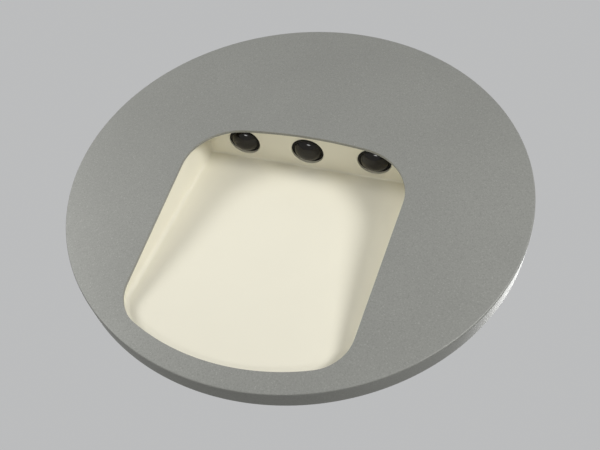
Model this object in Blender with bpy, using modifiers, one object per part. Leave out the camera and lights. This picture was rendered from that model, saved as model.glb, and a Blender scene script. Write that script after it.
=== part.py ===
"""Round recessed wall light for outdoors.

A dished metal faceplate covers a moulded scoop reflector, whose flat roof holds three small
domed lenses. A cast housing behind it goes into the wall and carries the driver, the terminal
block and a cable gland, and two sprung arms hold the light in its cut-out.

Everything is modelled in the wall's own frame: X to the right, Y up the wall and Z out of it,
with the origin where the faceplate's axis meets the wall. One empty turns that frame upright,
so that the wall is the world's XZ plane and the light faces -Y.
"""
import math

import bmesh
import bpy
from mathutils import Matrix, Vector

MM = 0.001
DEGREE = math.pi / 180

# Clearances
FIT = 0.3 * MM  # between two pieces that touch
OVERRUN = 1.0 * MM  # how far a cutter runs past what it cuts
HOLE_CLEARANCE = 0.35 * MM  # from a screw or pin to the wall of its hole
MERGE = 0.01 * MM
PROUD = 0.05 * MM  # between two faces of one moulding that would else lie in one plane

# Faceplate, whose radius follows from what lies inside it
PLATE_HEIGHT = 7.0 * MM
PLATE_SHEET = 1.0 * MM
RIM_WALL = 1.5 * MM
RIM_EDGE = 0.5 * MM
BOSS_RADIUS = 3.2 * MM
BOSS_GAP = 1.0 * MM  # from the housing's collar to a boss
BOSS_ANGLES = (40, 140, 200, 340)

# Window in the faceplate
WINDOW_TOP = 17.35 * MM
WINDOW_HALF_TOP = 39.0 * MM
WINDOW_TAPER = 4.8 * MM  # how far each side draws in on its way down
WINDOW_BOW_RADIUS = 150.0 * MM
WINDOW_BORDER = 6.25 * MM  # left between the window's toe and the faceplate's edge
WINDOW_TOP_FILLET = 18.5 * MM
WINDOW_TOE_FILLET = 13.5 * MM

# Scoop reflector
SCOOP_REVEAL = 0.4 * MM  # how far the scoop's mouth lies outside the window
SCOOP_DEPTH = 16.6 * MM  # from the faceplate's front to the deepest point of the floor
SCOOP_TOE_STEP = 0.35 * MM
SCOOP_TOP_FILLET = 1.2 * MM
SCOOP_WALL = 1.5 * MM
FLOOR_WALL = 1.0 * MM
FLOOR_FILLET_TOP = 0.7 * MM
FLOOR_FILLET_LOW = 1.6 * MM
FLOOR_FILLET_SHARE = 0.8  # of the depth left under the mouth
SIDE_DRAFT = 4 * DEGREE
REFLECTOR_FLANGE = 1.4 * MM

# Lamp chamber over the scoop's roof
CHAMBER_GAP = 2.7 * MM  # from the heat sink to the chamber's end wall
CHAMBER_WALL = 0.8 * MM
SEAT_CUT = 0.1 * MM  # skimmed off the roof's upper side
SINK_BOSS_RADIUS = 2.3 * MM
PILOT_RADIUS = 1.4 * MM

# Lenses, one row across the roof
LENS_PITCH = 23.8 * MM
LENS_DEPTH = 8.4 * MM  # from the faceplate's front to the lens axis
LENS_RADIUS = 5.0 * MM
LENS_DOME = 2.9 * MM
LENS_FLANGE_RADIUS = 5.9 * MM
LENS_FLANGE = 1.0 * MM
LENS_SEAL = 0.6 * MM
LENS_SEAL_WIDTH = 0.55 * MM
BEZEL_RADIUS = 5.7 * MM
BEZEL_HEIGHT = 0.7 * MM

# Light engine
EMITTER_SIDE = 3.4 * MM
EMITTER_BASE = 0.7 * MM
EMITTER_DOME = 1.25 * MM
EMITTER_POINTS = 6
BOARD = 1.6 * MM
BOARD_END = 8.7 * MM  # past the outer lens's axis
BOARD_LENGTH = 17.5 * MM
PAD = 0.5 * MM
SINK_BASE = 3.0 * MM
SINK_MARGIN = 0.5 * MM  # past the board's end
SINK_LENGTH = 25.0 * MM
SINK_FIN = 1.2 * MM
SINK_FIN_PITCH = 6.0 * MM
SINK_FIN_HEIGHT = 10.0 * MM
SINK_FINS = 10
CONNECTOR_WIDTH = 7.0 * MM
CONNECTOR_LENGTH = 4.8 * MM
CONNECTOR_HEIGHT = 3.2 * MM
CONNECTOR_WALL = 0.5 * MM

# Housing, as large as what it holds
HOUSING_FLANGE = 1.9 * MM
COLLAR_STEP = 8.0 * MM  # from the can's side out to the collar's
COLLAR_WALL = 1.8 * MM
COLLAR_DEPTH = 6.0 * MM
CAN_CLEARANCE = 0.73 * MM  # from the can's wall to the corner that reaches furthest
CAN_WALL = 2.0 * MM
CAN_CHAMFER = 1.5 * MM
LEAD_ROOM = 3.4 * MM  # between the scoop and the driver, for the leads
GROOVE_GAP = 0.5 * MM  # from a screw boss to the seal's groove
GROOVE_WIDTH = 2.2 * MM
GROOVE_DEPTH = 1.05 * MM
GROOVE_LAND = 1.1 * MM  # from the groove to the flange's edge
RIB_COUNT = 22
RIB_HEIGHT = 2.4 * MM
RIB_THICKNESS = 1.8 * MM
RIB_FREE_ANGLE = 22 * DEGREE  # left clear of ribs on each side of a bracket
PAD_PROUD = 1.3 * MM  # how far a bracket's pad stands out of the can
PAD_SINK = 3.1 * MM
PAD_MARGIN = 0.5 * MM  # past the bracket's front and rear
PAD_SIDE_MARGIN = 1.5 * MM

# Seals
WALL_GASKET_WIDTH = 2.4 * MM
WALL_GASKET_GAP = 0.6 * MM  # from the flanges to the gasket

# Driver
DRIVER_HALF_WIDTH = 25.0 * MM
DRIVER_GAP = 2.5 * MM  # from the gland's nut to the driver
DRIVER_HEIGHT = 27.0 * MM
DRIVER_THICKNESS = 18.5 * MM
DRIVER_CORNER = 2.5 * MM
DRIVER_LUG = 9.0 * MM
DRIVER_LUG_THICKNESS = 2.2 * MM
LUG_EDGE_SHARE = 1 / 3  # of the lug's thickness
DRIVER_RIB = 0.8 * MM
DRIVER_RIBS = 5
REAR_BOSS_HEIGHT = 3.2 * MM
REAR_BOSS_RADIUS = 3.6 * MM

# Terminal block
BLOCK_POLES = 3
BLOCK_PITCH = 9.4 * MM
BLOCK_RISE = 2.7 * MM  # from the gland's nut to the block
BLOCK_HEIGHT = 14.0 * MM
BLOCK_THICKNESS = 13.0 * MM
BLOCK_GAP = 1.6 * MM
BLOCK_WEB = 4.0 * MM
BLOCK_TUNNEL = 2.1 * MM
BLOCK_TUNNEL_DEPTH = 4.5 * MM
BLOCK_SCREW_SHARE = 0.28  # of the block's height, from each end to its screws

# Cable gland, metric 16
GLAND_RADIUS = 8.0 * MM
GLAND_BORE = 5.0 * MM
GLAND_HEX = 20.0 * MM
GLAND_HEX_HEIGHT = 5.0 * MM
GLAND_STUB = 7.6 * MM
GLAND_STUB_LENGTH = 8.0 * MM
GLAND_STUB_BORE = 6.2 * MM
GLAND_WASHER = 1.5 * MM
GLAND_NUT_HEX = 19.0 * MM
GLAND_NUT_HEIGHT = 2.6 * MM
GLAND_INNER_STAND = 1.2 * MM  # stub past the nut
CAP_RADIUS = 10.0 * MM
CAP_WALL = 1.9 * MM
CAP_LENGTH = 10.6 * MM
CAP_MOUTH = 5.2 * MM
CAP_GRIPS = 10
CAP_GRIP = 0.6 * MM
CAP_POINTS = 5
GRIP_RING_BORE = 3.8 * MM

# Screws
M3 = 1.5 * MM
M3_HEAD = 2.8 * MM
M3_HEAD_HEIGHT = 1.5 * MM
M2 = 1.05 * MM
M2_HEAD = 2.0 * MM
M2_HEAD_HEIGHT = 0.9 * MM
RECESS = 0.75 * MM  # radius of the driver's socket in a screw head
RECESS_DEPTH = 0.6 * MM
HEAD_DOME_SHARE = 1 / 3  # of a pan head's height
SCREW_SINK = 0.05 * MM  # how far a countersunk head lies below its face
EARTH_GAP = 9.9 * MM  # from the terminal block's last pole to the earth screw's axis
EARTH_HEIGHT = 2.5 * MM
TAG = 0.8 * MM
TAG_RADIUS = 3.4 * MM

# Fixing clips, one at each side
BRACKET_SHEET = 1.0 * MM
BRACKET_HALF_HEIGHT = 10.5 * MM
BRACKET_AHEAD = 10.5 * MM  # from the pin's axis to the bracket's front
BRACKET_BEHIND = 12.5 * MM
PIVOT_STAND = 3.0 * MM  # from the bracket's face to the pin's axis
PIVOT_DEPTH = 20.0 * MM
EAR_RADIUS = 3.0 * MM
EAR_SWEEP = 70 * DEGREE
PIN_RADIUS = 1.1 * MM
PIN_HEAD = 1.9 * MM
PIN_HEAD_HEIGHT = 0.8 * MM
SCREW_AHEAD = 6.8 * MM  # from the pin's axis to the bracket's front screw
SCREW_BEHIND = 8.6 * MM
ARM_REST = 46.6 * DEGREE
ARM_LENGTH = 20.6 * MM
ARM_BOSS = 2.6 * MM
ARM_HALF_HEIGHT = 9.2 * MM
ARM_TIP_HALF_HEIGHT = 5.5 * MM
ARM_SLOT_HALF_HEIGHT = 4.9 * MM
ARM_SLOT_LENGTH = 6.6 * MM
ARM_LOW = 1.45 * MM  # the blade's two faces, from the line through the pin
ARM_HIGH = 0.15 * MM
ARM_HEEL_HALF = 0.9 * MM
TIP_LENGTH = 6.0 * MM
TIP_WALL = 0.8 * MM
TIP_EDGE_SHARE = 0.45  # of the tip's wall
SPRING_WIRE = 0.9 * MM
SPRING_RADIUS = 2.2 * MM
SPRING_TURNS = 4
SPRING_HALF_LENGTH = 3.5 * MM
SPRING_FIXED_LEG = 5.0 * MM
SPRING_MOVING_LEG = 9.4 * MM
SPRING_POINTS = 10  # for each turn

# Leads
LEAD_RADIUS = 0.75 * MM
LEAD_SPACING = 2.6 * MM
LEAD_BACK = 4.5 * MM

# Counts of facets round a piece, and of points along the window's curves and straights
ROUND_COUNT = 80
BROAD_COUNT = 56
TURN_COUNT = 24
SMALL_COUNT = 12
TINY_COUNT = 8
CREST_COUNT = 4
FLAT_COUNT = 3
CORNER_COUNT = 7
SIDE_COUNT = 4
TOE_COUNT = 6

# Derived levels along Z
SHEET_BACK = PLATE_HEIGHT - PLATE_SHEET
LIP_FRONT = SHEET_BACK - FIT
FLANGE_BACK = HOUSING_FLANGE + FIT
FLANGE_FRONT = FLANGE_BACK + REFLECTOR_FLANGE
SCOOP_FLOOR = PLATE_HEIGHT - SCOOP_DEPTH
LENS_LEVEL = PLATE_HEIGHT - LENS_DEPTH
CHAMBER_FRONT = LIP_FRONT - CHAMBER_WALL
ENGINE_FRONT = CHAMBER_FRONT - FIT
BACK_OUTSIDE = SCOOP_FLOOR - FLOOR_WALL - LEAD_ROOM - DRIVER_THICKNESS - FIT - REAR_BOSS_HEIGHT - CAN_WALL
BACK_INSIDE = BACK_OUTSIDE + CAN_WALL
BOSS_END = FLANGE_FRONT + FIT

# Derived heights along Y, upwards from the scoop's roof
SCOOP_TOP = WINDOW_TOP + SCOOP_REVEAL
ROOF_LEVEL = SCOOP_TOP + SCOOP_REVEAL
ROOF_TOP = SCOOP_TOP + SCOOP_WALL - SEAT_CUT
SEAL_LOW = ROOF_TOP + FIT
LENS_FLANGE_LOW = SEAL_LOW + LENS_SEAL + FIT
LENS_TOP = LENS_FLANGE_LOW + LENS_FLANGE
EMITTER_LOW = LENS_TOP + FIT
BOARD_LOW = EMITTER_LOW + EMITTER_DOME + EMITTER_BASE + FIT
BOARD_TOP = BOARD_LOW + BOARD
PAD_LOW = BOARD_TOP + FIT
SINK_LOW = PAD_LOW + PAD + FIT
SINK_TOP = SINK_LOW + SINK_BASE
CHAMBER_TOP = SINK_TOP + FIT + CHAMBER_WALL
DRIVER_TOP = GLAND_NUT_HEX / 2 + DRIVER_GAP
BLOCK_LOW = GLAND_NUT_HEX / 2 + BLOCK_RISE

# Derived places along X
LENS_PLACES = (("left", -LENS_PITCH), ("centre", 0.0), ("right", LENS_PITCH))
SIDES = (("left", -1), ("right", 1))
SINK_SCREW_X = LENS_PITCH / 2
BOARD_HALF_WIDTH = LENS_PITCH + BOARD_END
SINK_HALF_WIDTH = BOARD_HALF_WIDTH + SINK_MARGIN
SINK_COMB_HALF = SINK_FIN_PITCH * (SINK_FINS - 1) / 2 + SINK_FIN / 2
CHAMBER_HALF_WIDTH = SINK_HALF_WIDTH + CHAMBER_GAP + CHAMBER_WALL
EARTH_PLACE = (BLOCK_PITCH * BLOCK_POLES / 2 + EARTH_GAP, EARTH_HEIGHT)

# Derived radii, from the corners of what the can holds out to the faceplate's edge
CAN_RADIUS = CAN_WALL + CAN_CLEARANCE + max(
    math.hypot(SINK_COMB_HALF, SINK_TOP + SINK_FIN_HEIGHT),
    math.hypot(SINK_HALF_WIDTH, SINK_TOP),
    math.hypot(DRIVER_HALF_WIDTH, DRIVER_TOP + DRIVER_HEIGHT),
    math.hypot(DRIVER_HALF_WIDTH + DRIVER_LUG, DRIVER_TOP + (DRIVER_HEIGHT + DRIVER_LUG) / 2),
    math.hypot(WINDOW_HALF_TOP + SCOOP_WALL, ROOF_TOP))
COLLAR_RADIUS = CAN_RADIUS + COLLAR_STEP
COLLAR_BORE = COLLAR_RADIUS - COLLAR_WALL
BOSS_CIRCLE = COLLAR_RADIUS + BOSS_GAP + BOSS_RADIUS
GROOVE_RADIUS = BOSS_CIRCLE + BOSS_RADIUS + GROOVE_GAP
FLANGE_RADIUS = GROOVE_RADIUS + GROOVE_WIDTH + GROOVE_LAND
PLATE_RADIUS = FLANGE_RADIUS + WALL_GASKET_GAP + WALL_GASKET_WIDTH + FIT + RIM_WALL
WINDOW_TOE_RADIUS = PLATE_RADIUS - WINDOW_BORDER
WINDOW_HALF_LOW = WINDOW_HALF_TOP - WINDOW_TAPER
PAD_FACE = CAN_RADIUS + PAD_PROUD

# The clips' pivot, measured from the light's axis
BRACKET_FRONT = PIVOT_DEPTH - BRACKET_AHEAD
BRACKET_REAR = PIVOT_DEPTH + BRACKET_BEHIND
BRACKET_SCREWS = (PIVOT_DEPTH - SCREW_AHEAD, PIVOT_DEPTH + SCREW_BEHIND)
PAD_FRONT = BRACKET_FRONT - PAD_MARGIN
PAD_REAR = BRACKET_REAR + PAD_MARGIN
PAD_HALF_HEIGHT = BRACKET_HALF_HEIGHT + PAD_SIDE_MARGIN
BRACKET_INNER = PAD_FACE + FIT
BRACKET_FACE = BRACKET_INNER + BRACKET_SHEET
PIVOT_X = BRACKET_FACE + PIVOT_STAND
ARM_HEEL = (PIVOT_STAND - FIT - ARM_HEEL_HALF * math.cos(ARM_REST)) / math.sin(ARM_REST)

UP = Matrix.Rotation(-90 * DEGREE, 4, "X")  # turns a piece's Z to point up the wall

for old in list(bpy.data.objects):
    bpy.data.objects.remove(old, do_unlink=True)


def make_collection(name):
    collection = bpy.data.collections.new(name)
    bpy.context.scene.collection.children.link(collection)
    return collection


LIGHT = make_collection("recessed_wall_light")
CUTTERS = make_collection("cutters")
FRAME = bpy.data.objects.new("wall_frame", None)
FRAME.rotation_euler = (90 * DEGREE, 0, 0)
LIGHT.objects.link(FRAME)


def material(name, colour, roughness, metallic=0.0):
    """A plain Principled finish, shared by the pieces that name it."""
    found = bpy.data.materials.get(name)
    if found:
        return found
    made = bpy.data.materials.new(name)
    made.use_nodes = True
    shader = made.node_tree.nodes["Principled BSDF"]
    shader.inputs["Base Color"].default_value = (*colour, 1.0)
    shader.inputs["Roughness"].default_value = roughness
    shader.inputs["Metallic"].default_value = metallic
    return made


FACE_COAT = ("face_coat", (0.31, 0.31, 0.285), 0.5, 0.6)
CREAM = ("cream_plastic", (0.84, 0.8, 0.66), 0.5, 0.0)
DARK_LENS = ("dark_lens", (0.03, 0.026, 0.02), 0.08, 0.0)
BLACK = ("black_plastic", (0.02, 0.02, 0.02), 0.45, 0.0)
RUBBER = ("black_rubber", (0.03, 0.03, 0.03), 0.8, 0.0)
CAST = ("cast_aluminium", (0.42, 0.42, 0.4), 0.55, 0.8)
ALUMINIUM = ("aluminium", (0.6, 0.6, 0.58), 0.4, 1.0)
STEEL = ("steel", (0.5, 0.5, 0.49), 0.35, 1.0)
BOARD_WHITE = ("board_mask", (0.75, 0.76, 0.72), 0.4, 0.0)
EMITTER_YELLOW = ("emitter", (0.85, 0.7, 0.2), 0.4, 0.0)
GREY_PAD = ("thermal_pad", (0.35, 0.4, 0.42), 0.8, 0.0)
WHITE = ("white_plastic", (0.8, 0.8, 0.78), 0.4, 0.0)
BRASS = ("nickelled_brass", (0.65, 0.6, 0.45), 0.35, 1.0)
RED = ("lead_red", (0.5, 0.03, 0.02), 0.45, 0.0)
BLUE = ("lead_blue", (0.03, 0.1, 0.4), 0.45, 0.0)
BROWN = ("lead_brown", (0.16, 0.06, 0.02), 0.45, 0.0)
GREEN = ("lead_green", (0.15, 0.4, 0.05), 0.45, 0.0)


def place(obj, finish, collection, smooth_angle=30 * DEGREE):
    """Parents a new piece to the wall's frame and gives it its finish."""
    collection.objects.link(obj)
    obj.parent = FRAME
    if finish:
        obj.data.materials.append(material(*finish))
    if smooth_angle and obj.type == "MESH":
        obj.data.shade_smooth()
        obj.data.set_sharp_from_angle(angle=smooth_angle)
    return obj


def from_bmesh(name, bm, finish, matrix=Matrix(), collection=None):
    bmesh.ops.recalc_face_normals(bm, faces=bm.faces)
    mesh = bpy.data.meshes.new(name)
    bm.to_mesh(mesh)
    bm.free()
    obj = bpy.data.objects.new(name, mesh)
    obj.matrix_local = matrix
    return place(obj, finish, collection or LIGHT)


def as_cutter(obj):
    """Moves a piece to the cutters, out of sight."""
    LIGHT.objects.unlink(obj)
    CUTTERS.objects.link(obj)
    obj.hide_render = True
    obj.display_type = "WIRE"
    return obj


def boolean(obj, tool, operation):
    step = obj.modifiers.new(operation.lower() + "_" + tool.name, "BOOLEAN")
    step.operation = operation
    step.object = tool
    step.solver = "EXACT"
    return obj


def join(obj, tool):
    return boolean(obj, as_cutter(tool), "UNION")


def cut(obj, tool):
    return boolean(obj, as_cutter(tool), "DIFFERENCE")


def rounded(obj, width, segments=2):
    """Rounds a piece's sharp edges."""
    step = obj.modifiers.new("rounded_edges", "BEVEL")
    step.width = width
    step.segments = segments
    step.limit_method = "ANGLE"
    step.angle_limit = 50 * DEGREE
    step.harden_normals = False
    return obj


def turned(name, profile, finish, matrix=Matrix(), steps=TURN_COUNT, closed=False):
    """Turns a profile of (radius, height) about Z. The profile runs down its outer side."""
    bm = bmesh.new()
    verts = [bm.verts.new((radius, 0, height)) for radius, height in profile]
    for a, b in zip(verts, verts[1:] + (verts[:1] if closed else [])):
        bm.edges.new((a, b))
    mesh = bpy.data.meshes.new(name)
    bm.to_mesh(mesh)
    bm.free()
    obj = bpy.data.objects.new(name, mesh)
    obj.matrix_local = matrix
    place(obj, finish, LIGHT, None)
    screw = obj.modifiers.new("turn", "SCREW")
    screw.axis = "Z"
    screw.angle = 2 * math.pi
    screw.steps = screw.render_steps = steps
    screw.use_merge_vertices = True
    screw.merge_threshold = MERGE
    screw.use_smooth_shade = True
    return obj


def ring(name, inner, outer, low, high, finish, matrix=Matrix(), steps=TURN_COUNT):
    """A turned ring of rectangular section."""
    profile = [(inner, low), (inner, high), (outer, high), (outer, low)]
    return turned(name, profile, finish, matrix, steps, closed=True)


def rod(name, radius, low, high, finish, matrix=Matrix(), steps=SMALL_COUNT):
    bm = bmesh.new()
    middle = Matrix.Translation((0, 0, (low + high) / 2))
    bmesh.ops.create_cone(bm, cap_ends=True, segments=steps, radius1=radius, radius2=radius,
                          depth=high - low, matrix=middle)
    return from_bmesh(name, bm, finish, matrix)


def block(name, low, high, finish, matrix=Matrix()):
    """A box between two corners."""
    low, high = Vector(low), Vector(high)
    bm = bmesh.new()
    bmesh.ops.create_cube(bm, size=1)
    bmesh.ops.scale(bm, vec=high - low, verts=bm.verts)
    bmesh.ops.translate(bm, vec=(high + low) / 2, verts=bm.verts)
    return from_bmesh(name, bm, finish, matrix)


def slab(name, outline, low, high, finish, matrix=Matrix()):
    """A flat outline, drawn as a 2D curve and given its thickness, then made a mesh."""
    curve = bpy.data.curves.new(name, "CURVE")
    curve.dimensions = "2D"
    curve.fill_mode = "BOTH"
    curve.extrude = (high - low) / 2
    spline = curve.splines.new("POLY")
    spline.points.add(len(outline) - 1)
    for point, (x, y) in zip(spline.points, outline):
        point.co = (x, y, 0, 1)
    spline.use_cyclic_u = True
    drawn = bpy.data.objects.new(name + "_outline", curve)
    LIGHT.objects.link(drawn)
    drawn.matrix_local = matrix @ Matrix.Translation((0, 0, (low + high) / 2))
    bpy.context.view_layer.update()
    graph = bpy.context.evaluated_depsgraph_get()
    mesh = bpy.data.meshes.new_from_object(drawn.evaluated_get(graph))
    bm = bmesh.new()
    bm.from_mesh(mesh)
    bmesh.ops.remove_doubles(bm, verts=bm.verts, dist=MERGE)
    made = from_bmesh(name, bm, finish, drawn.matrix_world.copy())
    bpy.data.meshes.remove(mesh)
    bpy.data.objects.remove(drawn)
    return made


def wire(name, route, radius, finish, resolution=2, matrix=Matrix()):
    """A round wire along a list of points, with filled ends."""
    curve = bpy.data.curves.new(name, "CURVE")
    curve.dimensions = "3D"
    curve.bevel_depth = radius
    curve.bevel_resolution = resolution
    curve.use_fill_caps = True
    spline = curve.splines.new("POLY")
    spline.points.add(len(route) - 1)
    for point, place_on_route in zip(spline.points, route):
        point.co = (*place_on_route, 1)
    obj = bpy.data.objects.new(name, curve)
    obj.matrix_local = matrix
    return place(obj, finish, LIGHT)


def joined(name, pieces, finish):
    """Makes one object of several separate solids, such as a set of ribs."""
    bpy.context.view_layer.update()
    graph = bpy.context.evaluated_depsgraph_get()
    bm = bmesh.new()
    for piece in pieces:
        mesh = bpy.data.meshes.new_from_object(piece.evaluated_get(graph))
        mesh.transform(piece.matrix_local)
        bm.from_mesh(mesh)
        bpy.data.meshes.remove(mesh)
        bpy.data.objects.remove(piece)
    return from_bmesh(name, bm, finish)


def arc(centre, radius, start, end, count):
    """Points along an arc, angles in radians, both ends included."""
    angles = [start + (end - start) * i / (count - 1) for i in range(count)]
    return [(centre[0] + radius * math.cos(a), centre[1] + radius * math.sin(a)) for a in angles]


def smooth_route(points, per_span=4):
    """A smooth curve through a wire's own points (Catmull-Rom)."""
    points = [Vector(p) for p in points]
    padded = [points[0] * 2 - points[1], *points, points[-1] * 2 - points[-2]]
    route = []
    for a, b, c, d in zip(padded, padded[1:], padded[2:], padded[3:]):
        for i in range(per_span):
            t = i / per_span
            route.append(((b * 2) + (c - a) * t + (a * 2 - b * 5 + c * 4 - d) * t ** 2
                          + (b * 3 - a - c * 3 + d) * t ** 3) / 2)
    return [tuple(p) for p in route] + [tuple(points[-1])]


# Window outline and scoop

def line_meets_circle(point, along, centre, radius):
    """The further of the two points where a line meets a circle."""
    offset = point - centre
    half = offset.dot(along)
    return point + along * (-half + math.sqrt(half ** 2 - offset.length_squared + radius ** 2))


def window_outline(grow=0.0, top=WINDOW_TOP, top_fillet=WINDOW_TOP_FILLET, bow=WINDOW_BOW_RADIUS):
    """The window's outline, offset outwards by grow: a bowed or flat top, two sides that draw in
    downwards, and a toe that follows the faceplate's edge. Points run clockwise from the top."""
    toe = WINDOW_TOE_RADIUS + grow
    low_y = -math.sqrt(WINDOW_TOE_RADIUS ** 2 - WINDOW_HALF_LOW ** 2)
    upper = Vector((WINDOW_HALF_TOP, WINDOW_TOP))
    lower = Vector((WINDOW_HALF_LOW, low_y))
    down = (lower - upper).normalized()
    out = Vector((-down.y, down.x))
    top, radius = top + grow, top_fillet + grow
    inner = upper + out * (grow - radius)
    if bow:
        bow_centre = Vector((0, top - bow - grow))
        corner = line_meets_circle(inner, -down, bow_centre, bow + grow - radius)
        side = (corner - bow_centre).angle(Vector((0, 1)))
        crest = arc(bow_centre, bow + grow, math.pi / 2, math.pi / 2 - side, CREST_COUNT + 1)[:-1]
        start = math.pi / 2 - side
    else:
        corner = inner + down * ((top - radius - inner.y) / down.y)
        crest = [(corner.x * i / FLAT_COUNT, top) for i in range(FLAT_COUNT)]
        start = math.pi / 2
    turn = math.atan2(out.y, out.x)
    fillet = WINDOW_TOE_FILLET + grow
    low_corner = line_meets_circle(upper + out * (grow - fillet), down, Vector((0, 0)), toe - fillet)
    foot = math.atan2(low_corner.y, low_corner.x)
    edge_top = corner + out * radius
    edge_low = low_corner + out * fillet
    side_points = [tuple(edge_top.lerp(edge_low, i / SIDE_COUNT)) for i in range(1, SIDE_COUNT)]
    right = crest + arc(corner, radius, start, turn, CORNER_COUNT) + side_points
    right += arc(low_corner, fillet, turn, foot, CORNER_COUNT)
    right += arc((0, 0), toe, foot, -math.pi / 2, TOE_COUNT)[1:]
    return right + [(-x, y) for x, y in right[-2:0:-1]]


def floor_level(y, deeper=0.0):
    """Z of the scoop's sloping floor at a height on the wall."""
    toe_level = LIP_FRONT - SCOOP_TOE_STEP
    share = (SCOOP_TOP - y) / (SCOOP_TOP + WINDOW_TOE_RADIUS)
    return SCOOP_FLOOR + (toe_level - SCOOP_FLOOR) * share - deeper


def scoop(name, grow, deeper, front, finish, rounds=4):
    """The scoop as a solid: its mouth's outline, drafted side walls, a fillet that widens down
    the sides, and the sloping floor. It is a loft between unlike sections, so it is built ring
    by ring."""
    outline = window_outline(grow, SCOOP_TOP, SCOOP_TOP_FILLET, None)
    count = len(outline)
    bm = bmesh.new()
    rings = [[bm.verts.new((x, y, front)) for x, y in outline]]
    mouth = [Vector(p) for p in outline]
    inward = []
    for i, here in enumerate(mouth):
        along = (mouth[(i + 1) % count] - mouth[i - 1]).normalized()
        inward.append(Vector((along.y, -along.x)))
    for step in range(rounds + 1):
        turn = step / rounds * math.pi / 2
        level = []
        for here, normal in zip(mouth, inward):
            drop = min((SCOOP_TOP - here.y) / (SCOOP_TOP + WINDOW_TOE_RADIUS) * 2, 1)
            depth = LIP_FRONT - floor_level(here.y, deeper)
            fillet = FLOOR_FILLET_TOP + (FLOOR_FILLET_LOW - FLOOR_FILLET_TOP) * max(drop, 0)
            fillet = min(fillet, depth * FLOOR_FILLET_SHARE)
            draft = math.tan(SIDE_DRAFT) * abs(normal.x) * (depth - fillet)
            at = here + normal * (draft + fillet * (1 - math.cos(turn)))
            z = floor_level(at.y, deeper) + fillet * (1 - math.sin(turn))
            level.append(bm.verts.new((at.x, at.y, min(z, LIP_FRONT - MERGE))))
        rings.append(level)
    for upper, lower in zip(rings, rings[1:]):
        for i in range(count):
            j = (i + 1) % count
            bm.faces.new((upper[i], upper[j], lower[j], lower[i]))
    bm.faces.new(rings[0])
    bm.faces.new(rings[-1])
    bmesh.ops.triangulate(bm, faces=bm.faces)
    return from_bmesh(name, bm, finish)


# Faceplate

def on_circle(radius, degrees):
    return radius * math.cos(degrees * DEGREE), radius * math.sin(degrees * DEGREE)


def make_faceplate():
    inner = PLATE_RADIUS - RIM_WALL
    corner = arc((PLATE_RADIUS - RIM_EDGE, PLATE_HEIGHT - RIM_EDGE), RIM_EDGE, math.pi / 2, 0, 3)
    profile = [(0, SHEET_BACK), (inner, SHEET_BACK), (inner, 0), (PLATE_RADIUS, 0)]
    profile = [(0, PLATE_HEIGHT), *corner, *reversed(profile)]
    plate = turned("faceplate", profile, FACE_COAT, steps=ROUND_COUNT)
    for angle in BOSS_ANGLES:
        x, y = on_circle(BOSS_CIRCLE, angle)
        boss = rod(f"plate_boss_{angle}", BOSS_RADIUS, BOSS_END, SHEET_BACK + PLATE_SHEET / 2, FACE_COAT,
                   Matrix.Translation((x, y, 0)))
        join(plate, boss)
        cut(plate, rod(f"plate_thread_{angle}", M3 + HOLE_CLEARANCE, BOSS_END - OVERRUN,
                       SHEET_BACK, None, Matrix.Translation((x, y, 0)), TINY_COUNT))
    cut(plate, slab("plate_window", window_outline(), SHEET_BACK - OVERRUN, PLATE_HEIGHT + OVERRUN, None))
    return plate


# Reflector

def make_reflector():
    body = scoop("reflector", SCOOP_WALL, FLOOR_WALL, LIP_FRONT, CREAM)
    join(body, rod("reflector_flange", FLANGE_RADIUS, FLANGE_BACK, FLANGE_FRONT, CREAM, steps=BROAD_COUNT))
    collar = window_outline(SCOOP_WALL + PROUD, SCOOP_TOP, SCOOP_TOP_FILLET, None)
    join(body, slab("reflector_collar", collar, FLANGE_BACK + PROUD, LIP_FRONT - PROUD, CREAM))
    join(body, block("chamber_shell", (-CHAMBER_HALF_WIDTH, SCOOP_TOP, FLANGE_BACK + PROUD * 2),
                     (CHAMBER_HALF_WIDTH, CHAMBER_TOP, LIP_FRONT - PROUD * 2), CREAM))
    cut(body, scoop("scoop_hollow", SCOOP_REVEAL, 0.0, LIP_FRONT + OVERRUN, None))
    half = CHAMBER_HALF_WIDTH - CHAMBER_WALL
    cut(body, block("chamber_hollow", (-half, ROOF_TOP, SCOOP_FLOOR - FLOOR_WALL - OVERRUN),
                    (half, CHAMBER_TOP - CHAMBER_WALL, CHAMBER_FRONT), None))
    for side in (-1, 1):
        at = Matrix.Translation((side * SINK_SCREW_X, 0, LENS_LEVEL)) @ UP
        join(body, rod(f"sink_boss_{side}", SINK_BOSS_RADIUS, ROOF_TOP - SEAT_CUT * 2, BOARD_LOW - FIT,
                       CREAM, at))
        cut(body, rod(f"sink_pilot_{side}", PILOT_RADIUS, ROOF_TOP, BOARD_LOW + OVERRUN, None, at,
                      TINY_COUNT))
    for side, x in LENS_PLACES:
        at = Matrix.Translation((x, 0, LENS_LEVEL)) @ UP
        cut(body, rod("lens_hole_" + side, LENS_RADIUS + FIT, SCOOP_TOP - OVERRUN, ROOF_TOP + OVERRUN,
                      None, at, TURN_COUNT))
    for angle in BOSS_ANGLES:
        at = Matrix.Translation((*on_circle(BOSS_CIRCLE, angle), 0))
        cut(body, rod(f"flange_hole_{angle}", M3 + HOLE_CLEARANCE, FLANGE_BACK - OVERRUN,
                      FLANGE_FRONT + OVERRUN, None, at, TINY_COUNT))
    return body


# Lenses and their rings

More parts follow.
